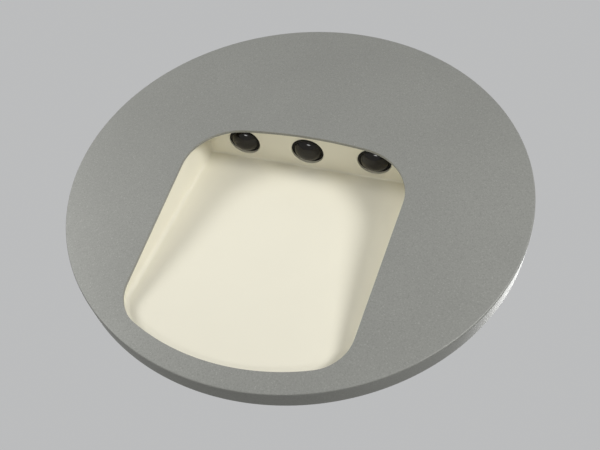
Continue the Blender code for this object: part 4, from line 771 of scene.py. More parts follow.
flat_plan = [(x, -z) for x, z in rounded_box(BOARD_HALF_WIDTH, BOARD_REAR, ENGINE_FRONT, BOARD_CORNER)]
circuit = clamped(slab("circuit_board", flat_plan, BOARD_LOW, BOARD_TOP, UP))
finished(circuit, board_look, "led_board")
soft_pad = clamped(slab("soft_thermal_pad", flat_plan, PAD_LOW, PAD_TOP, UP))
finished(soft_pad, pad_look, "thermal_pad")

# Board connector
# A two-way socket of white nylon, soldered under the board's rear edge. Its mouth faces the rear.
CONNECTOR_WIDTH = 7 * MM
CONNECTOR_LENGTH = 4.8 * MM
CONNECTOR_HEIGHT = 3.2 * MM
CONNECTOR_WALL = 0.5 * MM
NYLON = (0.8, 0.8, 0.76)
NYLON_GRAIN = (0.3 * MM, 0.008 * MM)

nylon_look = moulded("white_nylon", NYLON, 0.42, NYLON_GRAIN, 0.03)
half, socket_top = CONNECTOR_WIDTH / 2, BOARD_LOW - FIT
socket_low, socket_rear = socket_top - CONNECTOR_HEIGHT, BOARD_REAR + FIT
socket = block("connector_socket", (-half, socket_low, socket_rear),
               (half, socket_top, socket_rear + CONNECTOR_LENGTH))
soften(socket, CONNECTOR_WALL / 4)
cut(socket, block("mouth", (CONNECTOR_WALL - half, socket_low + CONNECTOR_WALL, BOARD_REAR - OVERRUN),
                  (half - CONNECTOR_WALL, socket_top - CONNECTOR_WALL, BOARD_REAR + CONNECTOR_LENGTH / 2)))
finished(socket, nylon_look, "led_connector")

# Heat sink
# An extruded aluminium comb, whose tongue reaches forwards over the board. The press leaves fine
# streaks along its length.
SINK_LOW = 26.6 * MM
SINK_HALF_WIDTH = 33 * MM
SINK_LENGTH = 25 * MM
SINK_FIN = 1.2 * MM
SINK_FIN_PITCH = 6 * MM
SINK_FIN_HEIGHT = 10 * MM
SINK_FINS = 10
HOUSING_FLANGE = 1.9 * MM
ALUMINIUM = (0.62, 0.62, 0.6)
STREAK_SIZE = 0.25 * MM
STREAK_DRAW = (1.0, 0.03, 1.0)
STREAK_DEPTH = 0.01 * MM


def stretched(start, factors):
    """The same coordinates, drawn out along one direction by factors below 1."""
    return start.node("ShaderNodeVectorMath", {"operation": "MULTIPLY"}, {0: start, 1: factors})


sink_look, sink_shader, sink_start = new_look("extruded_aluminium", 0.36, 1.0)
streak = noise(stretched(sink_start, STREAK_DRAW), STREAK_SIZE, 3.0)
drive(sink_shader, Base_Color=streak.tints(ALUMINIUM, 0.86, 1.12),
      Roughness=streak * 0.2 + 0.26, Normal=bump(streak, STREAK_DEPTH))

comb = [(-SINK_HALF_WIDTH, SINK_LOW), (SINK_HALF_WIDTH, SINK_LOW), (SINK_HALF_WIDTH, SINK_TOP)]
for i in range(SINK_FINS):
    middle = SINK_FIN_PITCH * ((SINK_FINS - 1) / 2 - i)
    right, left = middle + SINK_FIN / 2, middle - SINK_FIN / 2
    crest = SINK_TOP + SINK_FIN_HEIGHT - SINK_FIN / 2
    comb += [(right, SINK_TOP), *arc((middle, crest), SINK_FIN / 2, 0, math.pi, 9), (left, SINK_TOP)]
comb.append((-SINK_HALF_WIDTH, SINK_TOP))
sink = slab("heat_sink_comb", comb, ENGINE_FRONT - SINK_LENGTH, HOUSING_FLANGE - FIT)
join(sink, block("tongue", (-SINK_HALF_WIDTH, SINK_LOW, BOARD_REAR),
                 (SINK_HALF_WIDTH, SINK_TOP, ENGINE_FRONT)))
finished(clamped(sink), sink_look, "heat_sink")

# Screws
# Zinc-plated steel, rolled threads and a cross in every head. Pan heads hold the inner pieces
# and the clips, and four countersunk ones join the housing to the faceplate from behind.
M3_HEAD = 2.8 * MM
M3_HEAD_HEIGHT = 1.5 * MM
M2_HEAD = 2 * MM
M2_HEAD_HEIGHT = 0.9 * MM
M3_SCREW = (M3, M3_HEAD, M3_HEAD_HEIGHT)
M2_SCREW = (M2, M2_HEAD, M2_HEAD_HEIGHT)
FACING_BACK = Matrix.Rotation(math.pi, 4, "X")
RECESS_DEPTH = 0.6 * MM
CROSS_REACH_SHARE = 0.58
CROSS_HALF_SHARE = 0.13
THREAD_PITCH = 0.5 * MM
THREAD_DEPTH = 0.22 * MM
CREST_SHARES = (0.4, 0.6)
CROWN_BASE_SHARE = 0.35
CROWN_STEPS = 8
SCREW_SINK = 0.05 * MM
SCREW_STEPS = 48
ZINC = (0.56, 0.57, 0.57)
ZINC_GRAIN = 0.3 * MM
METAL_CLOUD = 3 * MM
METAL_RELIEF = 0.006 * MM
METAL_SPREAD = 0.14


def metal(name, colour, roughness, size):
    """Bare or plated metal: soft clouds over a fine grain, in its colour and its gloss."""
    look, shader, start = new_look(name, roughness, 1.0)
    fine = noise(start, size, 3.0, 0.6)
    tone = noise(start, METAL_CLOUD, 3.0) * 0.6 + fine * 0.4
    drive(shader, Roughness=tone * 0.24 + (roughness - 0.12), Normal=bump(fine, METAL_RELIEF),
          Base_Color=tone.between(0.25, 0.75).tints(colour, 1 - METAL_SPREAD, 1 + METAL_SPREAD))
    return look


def ridges(radius, high, low, pitch=THREAD_PITCH, depth=THREAD_DEPTH):
    """Profile points of a thread's ridges, from its high end down to its low end."""
    count = max(int((high - low) / pitch), 1)
    step = (high - low) / count
    points = []
    for i in range(count):
        top = high - step * i
        points += [(radius - depth, top), *[(radius, top - step * share) for share in CREST_SHARES]]
    return points + [(radius - depth, low)]


def cross(head, level, matrix):
    """The cutter for the cross in a screw's head."""
    reach, arm = head * CROSS_REACH_SHARE, head * CROSS_HALF_SHARE
    quarter = [(arm, arm), (arm, reach), (-arm, reach)]
    outline = []
    for x_of, y_of in (((1, 0), (0, 1)), ((0, -1), (1, 0)), ((-1, 0), (0, -1)), ((0, 1), (-1, 0))):
        outline += [(x * x_of[0] + y * x_of[1], x * y_of[0] + y * y_of[1]) for x, y in quarter]
    return slab("cross", outline, level - RECESS_DEPTH, level + OVERRUN, matrix)


def screw(name, node, head_points, under, end, radius, top, matrix):
    """A finished screw: the points of its head, then its thread, and a cross cut in its top."""
    profile = [*head_points, (radius, under), *ridges(radius, under - THREAD_PITCH, end + radius / 2),
               (radius / 2, end), (0, end)]
    made = cut(turned(name, profile, matrix, SCREW_STEPS), cross(head_points[-1][0], top, matrix))
    finished(made, zinc_look, node)


def pan_screw(name, node, seat, end, size, matrix):
    radius, head, height = size
    base = height * CROWN_BASE_SHARE
    bends = [i * QUARTER / CROWN_STEPS for i in range(CROWN_STEPS + 1)]
    crown = [(head * math.sin(bend), seat + base + (height - base) * math.cos(bend)) for bend in bends]
    screw(name, node, [*crown, (head, seat)], seat, end, radius, seat + height, matrix)


def flat_screw(name, node, seat, end, radius, head, matrix):
    screw(name, node, [(0, seat), (head, seat)], seat - (head - radius), end, radius, seat, matrix)


zinc_look = metal("zinc_plate", ZINC, 0.34, ZINC_GRAIN)
for word, at in zip(("left", "right"), sink_screw_places):
    pan_screw("sink_screw_" + word, "heat_sink_screw_" + word, SINK_TOP + FIT, ROOF_TOP + FIT, M2_SCREW, at)
for number, at in enumerate(boss_places, 1):
    flat_screw(f"flange_screw_{number}", f"assembly_screw_{number}", -SCREW_SINK, -SHEET_BACK + FIT * 2, M3,
               M3_HEAD, at @ FACING_BACK)

# Housing
# One aluminium casting with a stepped mouth, a seal groove in its flange and cooling ribs round
# the can. A flat pad at each side takes a clip. The cast skin is dull and slightly pebbled.
CAN_RADIUS = 51 * MM
CAN_WALL = 2 * MM
CAN_CHAMFER = 1.5 * MM
COLLAR_RADIUS = 59 * MM
COLLAR_BORE = 57.2 * MM
COLLAR_DEPTH = 6 * MM
GROOVE_RADIUS = 66.9 * MM
GROOVE_WIDTH = 2.2 * MM
GROOVE_DEPTH = 1.05 * MM
BACK_OUTSIDE = -38 * MM
BACK_INSIDE = BACK_OUTSIDE + CAN_WALL
RIB_COUNT = 22
RIB_HEIGHT = 2.4 * MM
RIB_THICKNESS = 1.8 * MM
RIB_FREE_ANGLE = 22 * DEGREE
CAST_EDGE = 0.5 * MM
PAD_FACE = 52.3 * MM
PAD_SINK = 3.1 * MM
PAD_FRONT = 9 * MM
PAD_REAR = 33 * MM
PAD_HALF_HEIGHT = 12 * MM
PIVOT_DEPTH = 20 * MM
BRACKET_SCREWS = (PIVOT_DEPTH - 6.8 * MM, PIVOT_DEPTH + 8.6 * MM)
REAR_BOSS_HEIGHT = 3.2 * MM
REAR_BOSS_RADIUS = 3.6 * MM
DRIVER_HALF_WIDTH = 25 * MM
DRIVER_TOP = 12 * MM
DRIVER_HEIGHT = 27 * MM
DRIVER_LUG = 9 * MM
EARTH_PLACE = (24.0 * MM, 2.5 * MM)
GLAND_RADIUS = 8 * MM
CAST = (0.4, 0.4, 0.385)
PEBBLE_SIZE = 0.7 * MM
FLOW_SIZE = 9 * MM
FLOW_DRAW = (1.0, 0.35, 1.0)
PORE_SIZE = 0.35 * MM
CAST_RELIEF = 0.05 * MM
WELD = 0.002 * MM
SIDES = [(word, side, Matrix.Scale(side, 4, (1, 0, 0))) for word, side in (("left", -1), ("right", 1))]


def mended(piece):
    """Draws a cut casting's faces of many corners as triangles, so that they shade flat."""
    bm = bmesh.new()
    bm.from_mesh(piece.data)
    bmesh.ops.remove_doubles(bm, verts=bm.verts, dist=WELD)
    bmesh.ops.dissolve_degenerate(bm, dist=WELD, edges=bm.edges)
    many = [face for face in bm.faces if len(face.verts) > 4]
    bmesh.ops.triangulate(bm, faces=many, quad_method="BEAUTY", ngon_method="BEAUTY")
    bm.to_mesh(piece.data)
    bm.free()
    return piece


cast_look, cast_shader, cast_start = new_look("cast_aluminium_skin", 0.55, 0.85)
pebble = noise(cast_start, PEBBLE_SIZE, 4.0, 0.6)
flow = noise(stretched(cast_start, FLOW_DRAW), FLOW_SIZE, 3.0)
pore = noise(cast_start, PORE_SIZE).between(0.66, 0.74)
cast_tone = (flow * 0.7 + pebble * 0.3).between(0.3, 0.7)
drive(cast_shader, Roughness=pebble * 0.2 + 0.45, Normal=bump(pebble - pore * 0.5, CAST_RELIEF),
      Base_Color=pore.blend(cast_tone.tints(CAST, 0.94, 1.06), shade(CAST, 0.6)))

shelf, can_bore = CAN_WALL - COLLAR_DEPTH, CAN_RADIUS - CAN_WALL
groove_floor, groove_outer = HOUSING_FLANGE - GROOVE_DEPTH, GROOVE_RADIUS + GROOVE_WIDTH
can_profile = [(0, BACK_INSIDE), (can_bore, BACK_INSIDE), (can_bore, shelf), (COLLAR_BORE, shelf),
               (COLLAR_BORE, HOUSING_FLANGE), (GROOVE_RADIUS, HOUSING_FLANGE), (GROOVE_RADIUS, groove_floor),
               (groove_outer, groove_floor), (groove_outer, HOUSING_FLANGE), (FLANGE_RADIUS, HOUSING_FLANGE),
               (FLANGE_RADIUS, 0), (COLLAR_RADIUS, 0), (COLLAR_RADIUS, -COLLAR_DEPTH),
               (CAN_RADIUS, -COLLAR_DEPTH), (CAN_RADIUS, BACK_OUTSIDE + CAN_CHAMFER),
               (CAN_RADIUS - CAN_CHAMFER, BACK_OUTSIDE), (0, BACK_OUTSIDE)]
can = turned("cast_housing", eased(can_profile, CAST_EDGE, 3), steps=192)
rear_places = {"left": (-DRIVER_HALF_WIDTH - DRIVER_LUG / 2, -DRIVER_TOP - DRIVER_HEIGHT / 2),
               "right": (DRIVER_HALF_WIDTH + DRIVER_LUG / 2, -DRIVER_TOP - DRIVER_HEIGHT / 2),
               "earth": EARTH_PLACE}
boss_top = BACK_INSIDE + REAR_BOSS_HEIGHT
ribs, pads, bosses, holes = [], [], [], []
for i in range(RIB_COUNT):
    angle = 2 * math.pi * (i + 0.5) / RIB_COUNT
    if abs(math.sin(angle)) > math.sin(RIB_FREE_ANGLE):
        rib = block("rib", (CAN_RADIUS - CAN_WALL / 2, -RIB_THICKNESS / 2, BACK_OUTSIDE + CAN_WALL),
                    (CAN_RADIUS + RIB_HEIGHT, RIB_THICKNESS / 2, -COLLAR_DEPTH - CAN_WALL),
                    Matrix.Rotation(angle, 4, "Z"))
        ribs.append(soften(rib, CAST_EDGE))
for _, side, out in SIDES:
    pads.append(soften(block("pad", (PAD_FACE - PAD_SINK, -PAD_HALF_HEIGHT, -PAD_REAR),
                             (PAD_FACE, PAD_HALF_HEIGHT, -PAD_FRONT), out), CAST_EDGE))
    for depth in BRACKET_SCREWS:
        at = place(0, 0, -depth) @ Matrix.Rotation(side * QUARTER, 4, "Y")
        holes.append(rod("bracket_thread", M2_HOLE, PAD_FACE - PAD_SINK + MERGE,
                         PAD_FACE + OVERRUN, at, 32))
for x, y in rear_places.values():
    at = place(x, y)
    bosses.append(rod("rear_boss", REAR_BOSS_RADIUS, BACK_INSIDE - CAN_WALL / 2, boss_top, at))
    holes.append(rod("rear_thread", M3_HOLE, BACK_INSIDE, boss_top + OVERRUN, at, 32))
head, beyond = M3_HEAD + HOLE_CLEARANCE, -HOUSING_FLANGE - OVERRUN
countersink = [(0, OVERRUN), (head, OVERRUN), (head, 0), (M3_HOLE, M3_HOLE - head), (M3_HOLE, beyond),
               (0, beyond)]
holes += [turned("countersink", countersink, at @ FACING_BACK, SCREW_STEPS) for at in boss_places]
holes.append(hole(GLAND_RADIUS + FIT, BACK_OUTSIDE, BACK_INSIDE, steps=96))
join(can, gathered("ribs", ribs), gathered("pads", pads), gathered("bosses", bosses))
cut(can, gathered("holes", holes), scoop("scoop_relief", SCOOP_WALL + FIT, FLOOR_WALL + FIT, LIP_FRONT))
finished(mended(can), cast_look, "housing")

# Seals
# A round-edged rubber ring fills the flange's groove, and a wide ring of closed-cell foam behind
# the faceplate's rim seals the light to the wall.
WALL_GASKET_WIDTH = 2.4 * MM
WALL_GASKET_GAP = 0.6 * MM
FOAM = (0.045, 0.044, 0.043)
FOAM_CELL = 0.45 * MM
FOAM_CLOUD = 5 * MM
FOAM_RELIEF = 0.08 * MM
FOAM_EDGE = 0.5 * MM
SEAL_EDGE = 0.3 * MM

foam_look, foam_shader, foam_start = new_look("closed_cell_foam", 0.92)
cells = foam_start.node("ShaderNodeTexVoronoi", {"feature": "F1"},
                        {"Vector": foam_start, "Scale": 1 / FOAM_CELL}, "Distance")
foam_cloud = noise(foam_start, FOAM_CLOUD)
drive(foam_shader, Normal=bump(cells, FOAM_RELIEF),
      Base_Color=(foam_cloud * 0.5 + cells * 0.5).between(0.1, 0.7).tints(FOAM, 0.7, 1.5))
gasket_inner, groove_inner = FLANGE_RADIUS + WALL_GASKET_GAP, GROOVE_RADIUS + FIT
seal_ring("foam_wall_gasket", "wall_gasket", foam_look, gasket_inner, gasket_inner + WALL_GASKET_WIDTH, 0,
          SHEET_BACK - FIT, FOAM_EDGE, steps=FINE)
seal_ring("groove_seal", "housing_seal", rubber_look, groove_inner, groove_inner + GROOVE_WIDTH - FIT * 2,
          groove_floor + FIT, HOUSING_FLANGE, SEAL_EDGE, steps=FINE)

# Driver
# A potted supply in a black plastic case, ribbed in front. A screw through the lug at each end
# holds it to the housing's rear wall.
DRIVER_THICKNESS = 18.5 * MM
DRIVER_CORNER = 2.5 * MM
DRIVER_LUG_THICKNESS = 2.2 * MM
DRIVER_RIB = 0.8 * MM
DRIVER_RIBS = 5
BLACK = (0.02, 0.02, 0.021)
BLACK_GRAIN = (0.25 * MM, 0.012 * MM)

black_look = moulded("black_plastic_grain", BLACK, 0.42, BLACK_GRAIN)
driver_back = boss_top + FIT
driver_front, driver_low = driver_back + DRIVER_THICKNESS, -DRIVER_TOP - DRIVER_HEIGHT
driver = soften(block("driver_case", (-DRIVER_HALF_WIDTH, driver_low, driver_back),
                      (DRIVER_HALF_WIDTH, -DRIVER_TOP, driver_front)), DRIVER_CORNER / 2, 5)
driver_ribs = []
driver_reach = DRIVER_HALF_WIDTH - DRIVER_CORNER
for i in range(DRIVER_RIBS):
    y = driver_low + DRIVER_HEIGHT * (i + 1) / (DRIVER_RIBS + 1)
    rib = block("driver_rib", (-driver_reach, y - DRIVER_RIB / 2, driver_front - DRIVER_RIB),
                (driver_reach, y + DRIVER_RIB / 2, driver_front + DRIVER_RIB))
    driver_ribs.append(soften(rib, DRIVER_RIB / 4))
join(driver, gathered("driver_ribs", driver_ribs))
lug_front = driver_back + DRIVER_LUG_THICKNESS
for word, _, out in SIDES:
    x, y = rear_places[word]
    lug = block("lug", (driver_reach, y - DRIVER_LUG / 2, driver_back + MERGE),
                (abs(x) + DRIVER_LUG / 2, y + DRIVER_LUG / 2, lug_front), out)
    at = place(x, y)
    join(driver, soften(lug, DRIVER_LUG_THICKNESS / 3, 4))
    cut(driver, hole(M3_HOLE, driver_back, lug_front, at))
    pan_screw("lug_screw_" + word, "driver_screw_" + word, lug_front + FIT, BACK_INSIDE + FIT, M3_SCREW, at)
finished(driver, black_look, "driver")

# Terminal block
# Three poles of white nylon on one web, each with a wire tunnel at both ends and a brass clamp
# screw in a well over each tunnel.
BLOCK_POLES = 3
BLOCK_PITCH = 9.4 * MM
BLOCK_LOW = 12.2 * MM
BLOCK_HEIGHT = 14 * MM
BLOCK_THICKNESS = 13 * MM
BLOCK_GAP = 1.6 * MM
BLOCK_WEB = 4 * MM
BLOCK_TUNNEL = 2.1 * MM
BLOCK_TUNNEL_DEPTH = 4.5 * MM
BLOCK_SCREW_SHARE = 0.28
SLOT_HALF = 0.375 * MM
BRASS = (0.66, 0.56, 0.33)
BRASS_GRAIN = 0.25 * MM

brass_look = metal("brass", BRASS, 0.34, BRASS_GRAIN)
block_back = BACK_INSIDE + FIT
block_front, block_top = block_back + BLOCK_THICKNESS, BLOCK_LOW + BLOCK_HEIGHT
block_reach = BLOCK_PITCH * BLOCK_POLES / 2 - BLOCK_GAP
tunnel_depth = (block_back + BLOCK_WEB + block_front) / 2
pole_places = [BLOCK_PITCH * (i - (BLOCK_POLES - 1) / 2) for i in range(BLOCK_POLES)]
well, clamp_top = block_front - M2_HEAD_HEIGHT * 2, block_front - M2_HEAD_HEIGHT / 2
terminals = block("nylon_terminal_block", (-block_reach, BLOCK_LOW + BLOCK_GAP, block_back),
                  (block_reach, block_top - BLOCK_GAP, block_back + BLOCK_WEB))
half = (BLOCK_PITCH - BLOCK_GAP) / 2
poles, wells, clamps, slots = [], [], [], []
for x in pole_places:
    poles.append(soften(block("pole", (x - half, BLOCK_LOW, block_back), (x + half, block_top, block_front)),
                        BLOCK_GAP / 2, 4))
    for end, inward in ((BLOCK_LOW, 1), (block_top, -1)):
        low, high = sorted((end - inward * OVERRUN, end + inward * BLOCK_TUNNEL_DEPTH))
        wells.append(rod("tunnel", BLOCK_TUNNEL, low, high, place(x, 0, tunnel_depth) @ UP))
        at = place(x, end + inward * BLOCK_HEIGHT * BLOCK_SCREW_SHARE)
        wells.append(rod("well", M2_HEAD + FIT, well, block_front + OVERRUN, at))
        clamps.append(soften(rod("clamp", M2_HEAD, well + MERGE, clamp_top, at), M2_HEAD_HEIGHT / 8))
        slots.append(block("slot", (-M2_HEAD, -SLOT_HALF, clamp_top - RECESS_DEPTH),
                           (M2_HEAD, SLOT_HALF, clamp_top + OVERRUN), at))
join(terminals, gathered("poles", poles))
cut(terminals, *wells)
finished(terminals, nylon_look, "terminal_block")
clamp_screws = cut(gathered("clamp_screws", clamps), gathered("slots", slots))
finished(clamp_screws, brass_look, "terminal_block")

# Cable gland
# Black nylon. Its threaded body passes through the housing's rear wall, between a rubber washer
# and a lock nut, and the ribbed cap squeezes a rubber ring round the supply cable.
GLAND_BORE = 5 * MM
GLAND_HEX = 20 * MM
GLAND_HEX_HEIGHT = 5 * MM
GLAND_STUB = 7.6 * MM
GLAND_STUB_LENGTH = 8 * MM
GLAND_STUB_BORE = 6.2 * MM
GLAND_WASHER = 1.5 * MM
GLAND_NUT_HEX = 19 * MM
GLAND_NUT_HEIGHT = 2.6 * MM
GLAND_INNER_STAND = 1.2 * MM
GLAND_PITCH = 1.5 * MM
HEX_CHAMFER = 0.6 * MM
CAP_RADIUS = 10 * MM
CAP_WALL = 1.9 * MM
CAP_LENGTH = 10.6 * MM
CAP_MOUTH = 5.2 * MM
CAP_GRIPS = 10
CAP_GRIP = 0.6 * MM
GRIP_RING_BORE = 3.8 * MM
GRIP_RING_EDGE = 0.5 * MM


def hexagon(name, flats, low, high):
    """A hexagon's slab, whose corners are turned down at both ends as on a real nut."""
    corner = flats / 2 / math.cos(30 * DEGREE)
    made = slab(name, [on_circle(corner, 60 * i) for i in range(6)], low, high)
    round_to = flats / 2 + HEX_CHAMFER / 2
    turned_down = [(0, high), (round_to, high), (corner, high - HEX_CHAMFER), (corner, low + HEX_CHAMFER),
                   (round_to, low), (0, low)]
    return combine(made, "INTERSECT", [turned("hex_round", turned_down)])


washer_front = BACK_OUTSIDE - FIT
washer_back = washer_front - GLAND_WASHER
seal_ring("rubber_gland_washer", "gland_washer", rubber_look, GLAND_RADIUS + FIT, GLAND_HEX / 2, washer_back,
          washer_front, GLAND_WASHER / 5)
hex_front = washer_back - FIT
hex_back = hex_front - GLAND_HEX_HEIGHT
stub_end = hex_back - GLAND_STUB_LENGTH
nut_back = BACK_INSIDE + FIT
nut_front = nut_back + GLAND_NUT_HEIGHT
inner_end = nut_front + GLAND_INNER_STAND
gland = hexagon("nylon_gland_body", GLAND_HEX, hex_back, hex_front)
cut(gland, hole((GLAND_BORE + GLAND_STUB) / 2, hex_back, hex_front, steps=96))
middle, thread = hex_back + GLAND_HEX_HEIGHT / 2, (GLAND_PITCH, THREAD_DEPTH * 2)
tube = [(GLAND_BORE, middle), (GLAND_BORE, inner_end), *ridges(GLAND_RADIUS, inner_end, hex_front, *thread),
        (GLAND_RADIUS, middle), (GLAND_STUB, middle), *ridges(GLAND_STUB, hex_back, stub_end, *thread),
        (GLAND_STUB_BORE, stub_end), (GLAND_STUB_BORE, hex_back), (GLAND_BORE, hex_back),
        (GLAND_BORE, middle)]
finished(join(gland, turned("gland_tube", tube)), black_look, "gland_body")
nut = hexagon("nylon_lock_nut", GLAND_NUT_HEX, nut_back, nut_front)
cut(nut, hole(GLAND_RADIUS + FIT, nut_back, nut_front, steps=96))
finished(nut, black_look, "gland_nut")
cap_front = hex_back - FIT
cap_back, cap_inner = cap_front - CAP_LENGTH, CAP_RADIUS - CAP_WALL
cap_floor = cap_back + CAP_WALL
shell = [(CAP_MOUTH, cap_floor - CAP_WALL / 2), (CAP_MOUTH, cap_floor), (cap_inner, cap_floor),
         (cap_inner, cap_front), (CAP_RADIUS, cap_front),
         *arc((cap_inner, cap_floor), CAP_WALL, 0, -QUARTER, 13), (CAP_MOUTH + CAP_WALL / 5, cap_back),
         (CAP_MOUTH, cap_back + CAP_WALL / 5), (CAP_MOUTH, cap_floor - CAP_WALL / 2)]
cap = turned("nylon_gland_cap", shell)
grips = [soften(block("grip", (CAP_RADIUS - CAP_GRIP / 2, -CAP_GRIP, cap_floor),
                      (CAP_RADIUS + CAP_GRIP, CAP_GRIP, cap_front - CAP_GRIP),
                      Matrix.Rotation(2 * math.pi * i / CAP_GRIPS, 4, "Z")), CAP_GRIP / 3)
         for i in range(CAP_GRIPS)]
finished(join(cap, gathered("grips", grips)), black_look, "gland_cap")
grip_outer = GLAND_STUB_BORE - FIT
seal_ring("rubber_grip_ring", "gland_grip_ring", rubber_look, GRIP_RING_BORE, grip_outer, cap_floor + FIT,
          hex_back - FIT - (grip_outer - GRIP_RING_BORE), GRIP_RING_EDGE)

# Leads
# Stranded copper in soft coloured insulation: red and black from the board to the driver, brown
# and blue on to the terminals, and green for earth, with a crimped brass ring under its screw.
LEAD_RADIUS = 0.75 * MM
LEAD_SPACING = 2.6 * MM
LEAD_BACK = 4.5 * MM
LEAD_COLOURS = {"red": (0.5, 0.03, 0.02), "black": (0.02, 0.02, 0.02), "brown": (0.16, 0.06, 0.02),
                "blue": (0.03, 0.1, 0.4), "green": (0.13, 0.36, 0.05)}
LEAD_GRAIN = (0.5 * MM, 0.005 * MM)
TAG = 0.8 * MM
TAG_RADIUS = 3.4 * MM


def smooth_route(points, per_span=10):
    """A smooth curve through a lead's own points."""
    points = [Vector(p) for p in points]
    padded = [points[0] * 2 - points[1], *points, points[-1] * 2 - points[-2]]
    route = []
    for a, b, c, d in zip(padded, padded[1:], padded[2:], padded[3:]):
        for i in range(per_span):
            t = i / per_span
            route.append(((b * 2) + (c - a) * t + (a * 2 - b * 5 + c * 4 - d) * t ** 2
                          + (b * 3 - a - c * 3 + d) * t ** 3) / 2)
    return route + [points[-1]]


def wire(name, route, radius, matrix=Matrix()):
    """A round wire along a list of points, with closed ends."""
    curve = bpy.data.curves.new(name, "CURVE")
    curve.dimensions = "3D"
    curve.bevel_depth = radius
    curve.bevel_resolution = 4
    curve.use_fill_caps = True
    spline = curve.splines.new("POLY")
    spline.points.add(len(route) - 1)
    for point, here in zip(spline.points, route):
        point.co = (*here, 1)
    drawn = added(name, curve)
    bm = bmesh.new()
    bm.from_mesh(evaluated_mesh(drawn))
    bpy.data.objects.remove(drawn)
    bmesh.ops.remove_doubles(bm, verts=bm.verts, dist=MERGE)
    return from_bmesh(name, bm, matrix)


def lead(colour, node, points):
    """A finished lead in its insulation, on a smooth curve through its own points."""
    insulation = moulded("insulation_" + colour, LEAD_COLOURS[colour], 0.4, LEAD_GRAIN, 0.08)
    finished(wire("insulated_lead_" + colour, smooth_route(points), LEAD_RADIUS), insulation,
             node)


plug_y, plug_z = socket_top - CONNECTOR_HEIGHT / 2, BOARD_REAR + CONNECTOR_LENGTH / 2 - FIT
slope = SCOOP_FLOOR - FLOOR_WALL - LEAD_BACK
driver_entry = -DRIVER_TOP + FIT
for colour, side in (("red", -1), ("black", 1)):
    x, entry = side * LEAD_SPACING / 2, driver_front - DRIVER_THICKNESS / 3
    lead(colour, "led_lead_" + colour, [
        (x, plug_y, plug_z), (x, plug_y, BOARD_REAR - LEAD_RADIUS * 2),
        (x, plug_y - LEAD_RADIUS, BOARD_REAR - LEAD_BACK), (x + LEAD_BACK, ROOF_TOP - LEAD_BACK, slope),
        (x + LEAD_BACK, 0, slope - LEAD_SPACING), (x + LEAD_BACK * 2, driver_entry + LEAD_BACK, entry),
        (x + LEAD_BACK * 2, driver_entry, entry)])
terminal_z, deepest = block_back + (BLOCK_WEB + BLOCK_THICKNESS) / 2, BLOCK_LOW + BLOCK_TUNNEL_DEPTH - FIT
for pole, colour in enumerate(("brown", "blue")):
    x, entry = pole_places[pole], driver_front - DRIVER_THICKNESS / 2
    away = -DRIVER_HALF_WIDTH / 2 + pole * LEAD_SPACING
    lead(colour, "supply_lead_" + colour, [
        (away, driver_entry, entry), (away, driver_entry + LEAD_BACK, entry),
        (away, 0, terminal_z + LEAD_SPACING), (x, BLOCK_LOW - LEAD_BACK, terminal_z + LEAD_SPACING / 2),
        (x, BLOCK_LOW, terminal_z), (x, deepest, terminal_z)])

x, y = EARTH_PLACE
at = place(x, y)
tag_seat = boss_top + FIT
tag = rod("brass_ring_tag", TAG_RADIUS, tag_seat, tag_seat + TAG, at, 64)
neck = LEAD_RADIUS + TAG / 2
join(tag, block("tag_neck", (-neck, 0, tag_seat), (neck, TAG_RADIUS * 2, tag_seat + TAG), at))
cut(tag, hole(M3_HOLE, tag_seat, tag_seat + TAG, at))
finished(soften(tag, TAG / 6), brass_look, "earth_tag")
pan_screw("tag_screw", "earth_screw", tag_seat + TAG + FIT, BACK_INSIDE + FIT, M3_SCREW, at)
start_z, tail, pole_end = tag_seat + TAG + FIT + LEAD_RADIUS, y + TAG_RADIUS * 2, pole_places[-1]
lead("green", "earth_lead", [
    (x, tail - TAG, start_z), (x, tail + LEAD_SPACING / 2, start_z + LEAD_SPACING / 2),
    (x - LEAD_BACK, tail + LEAD_SPACING / 2, terminal_z),
    (pole_end + LEAD_BACK, BLOCK_LOW - LEAD_BACK, terminal_z),
    (pole_end, BLOCK_LOW - LEAD_SPACING / 2, terminal_z), (pole_end, deepest, terminal_z)])

# Clip brackets
# A channel pressed from 1 mm steel and zinc plated, screwed to each of the housing's pads. Its
# two ears hold a headed pin. Both clips are drawn on the right, and mirrored for the left.
BRACKET_SHEET = 1 * MM
BRACKET_HALF_HEIGHT = 10.5 * MM
BRACKET_FRONT = 9.5 * MM
BRACKET_REAR = 32.5 * MM
BRACKET_INNER = 52.6 * MM
BRACKET_FACE = BRACKET_INNER + BRACKET_SHEET
PIVOT_X = 56.6 * MM
EAR_RADIUS = 3 * MM
EAR_SWEEP = 70 * DEGREE
PIN_RADIUS = 1.1 * MM
PIN_HOLE = PIN_RADIUS + HOLE_CLEARANCE
PIN_HEAD = 1.9 * MM
PIN_HEAD_HEIGHT = 0.8 * MM
PLAN = Matrix(((1, 0, 0, 0), (0, 0, -1, 0), (0, 1, 0, 0), (0, 0, 0, 1)))
PIVOT = place(PIVOT_X, 0, -PIVOT_DEPTH)

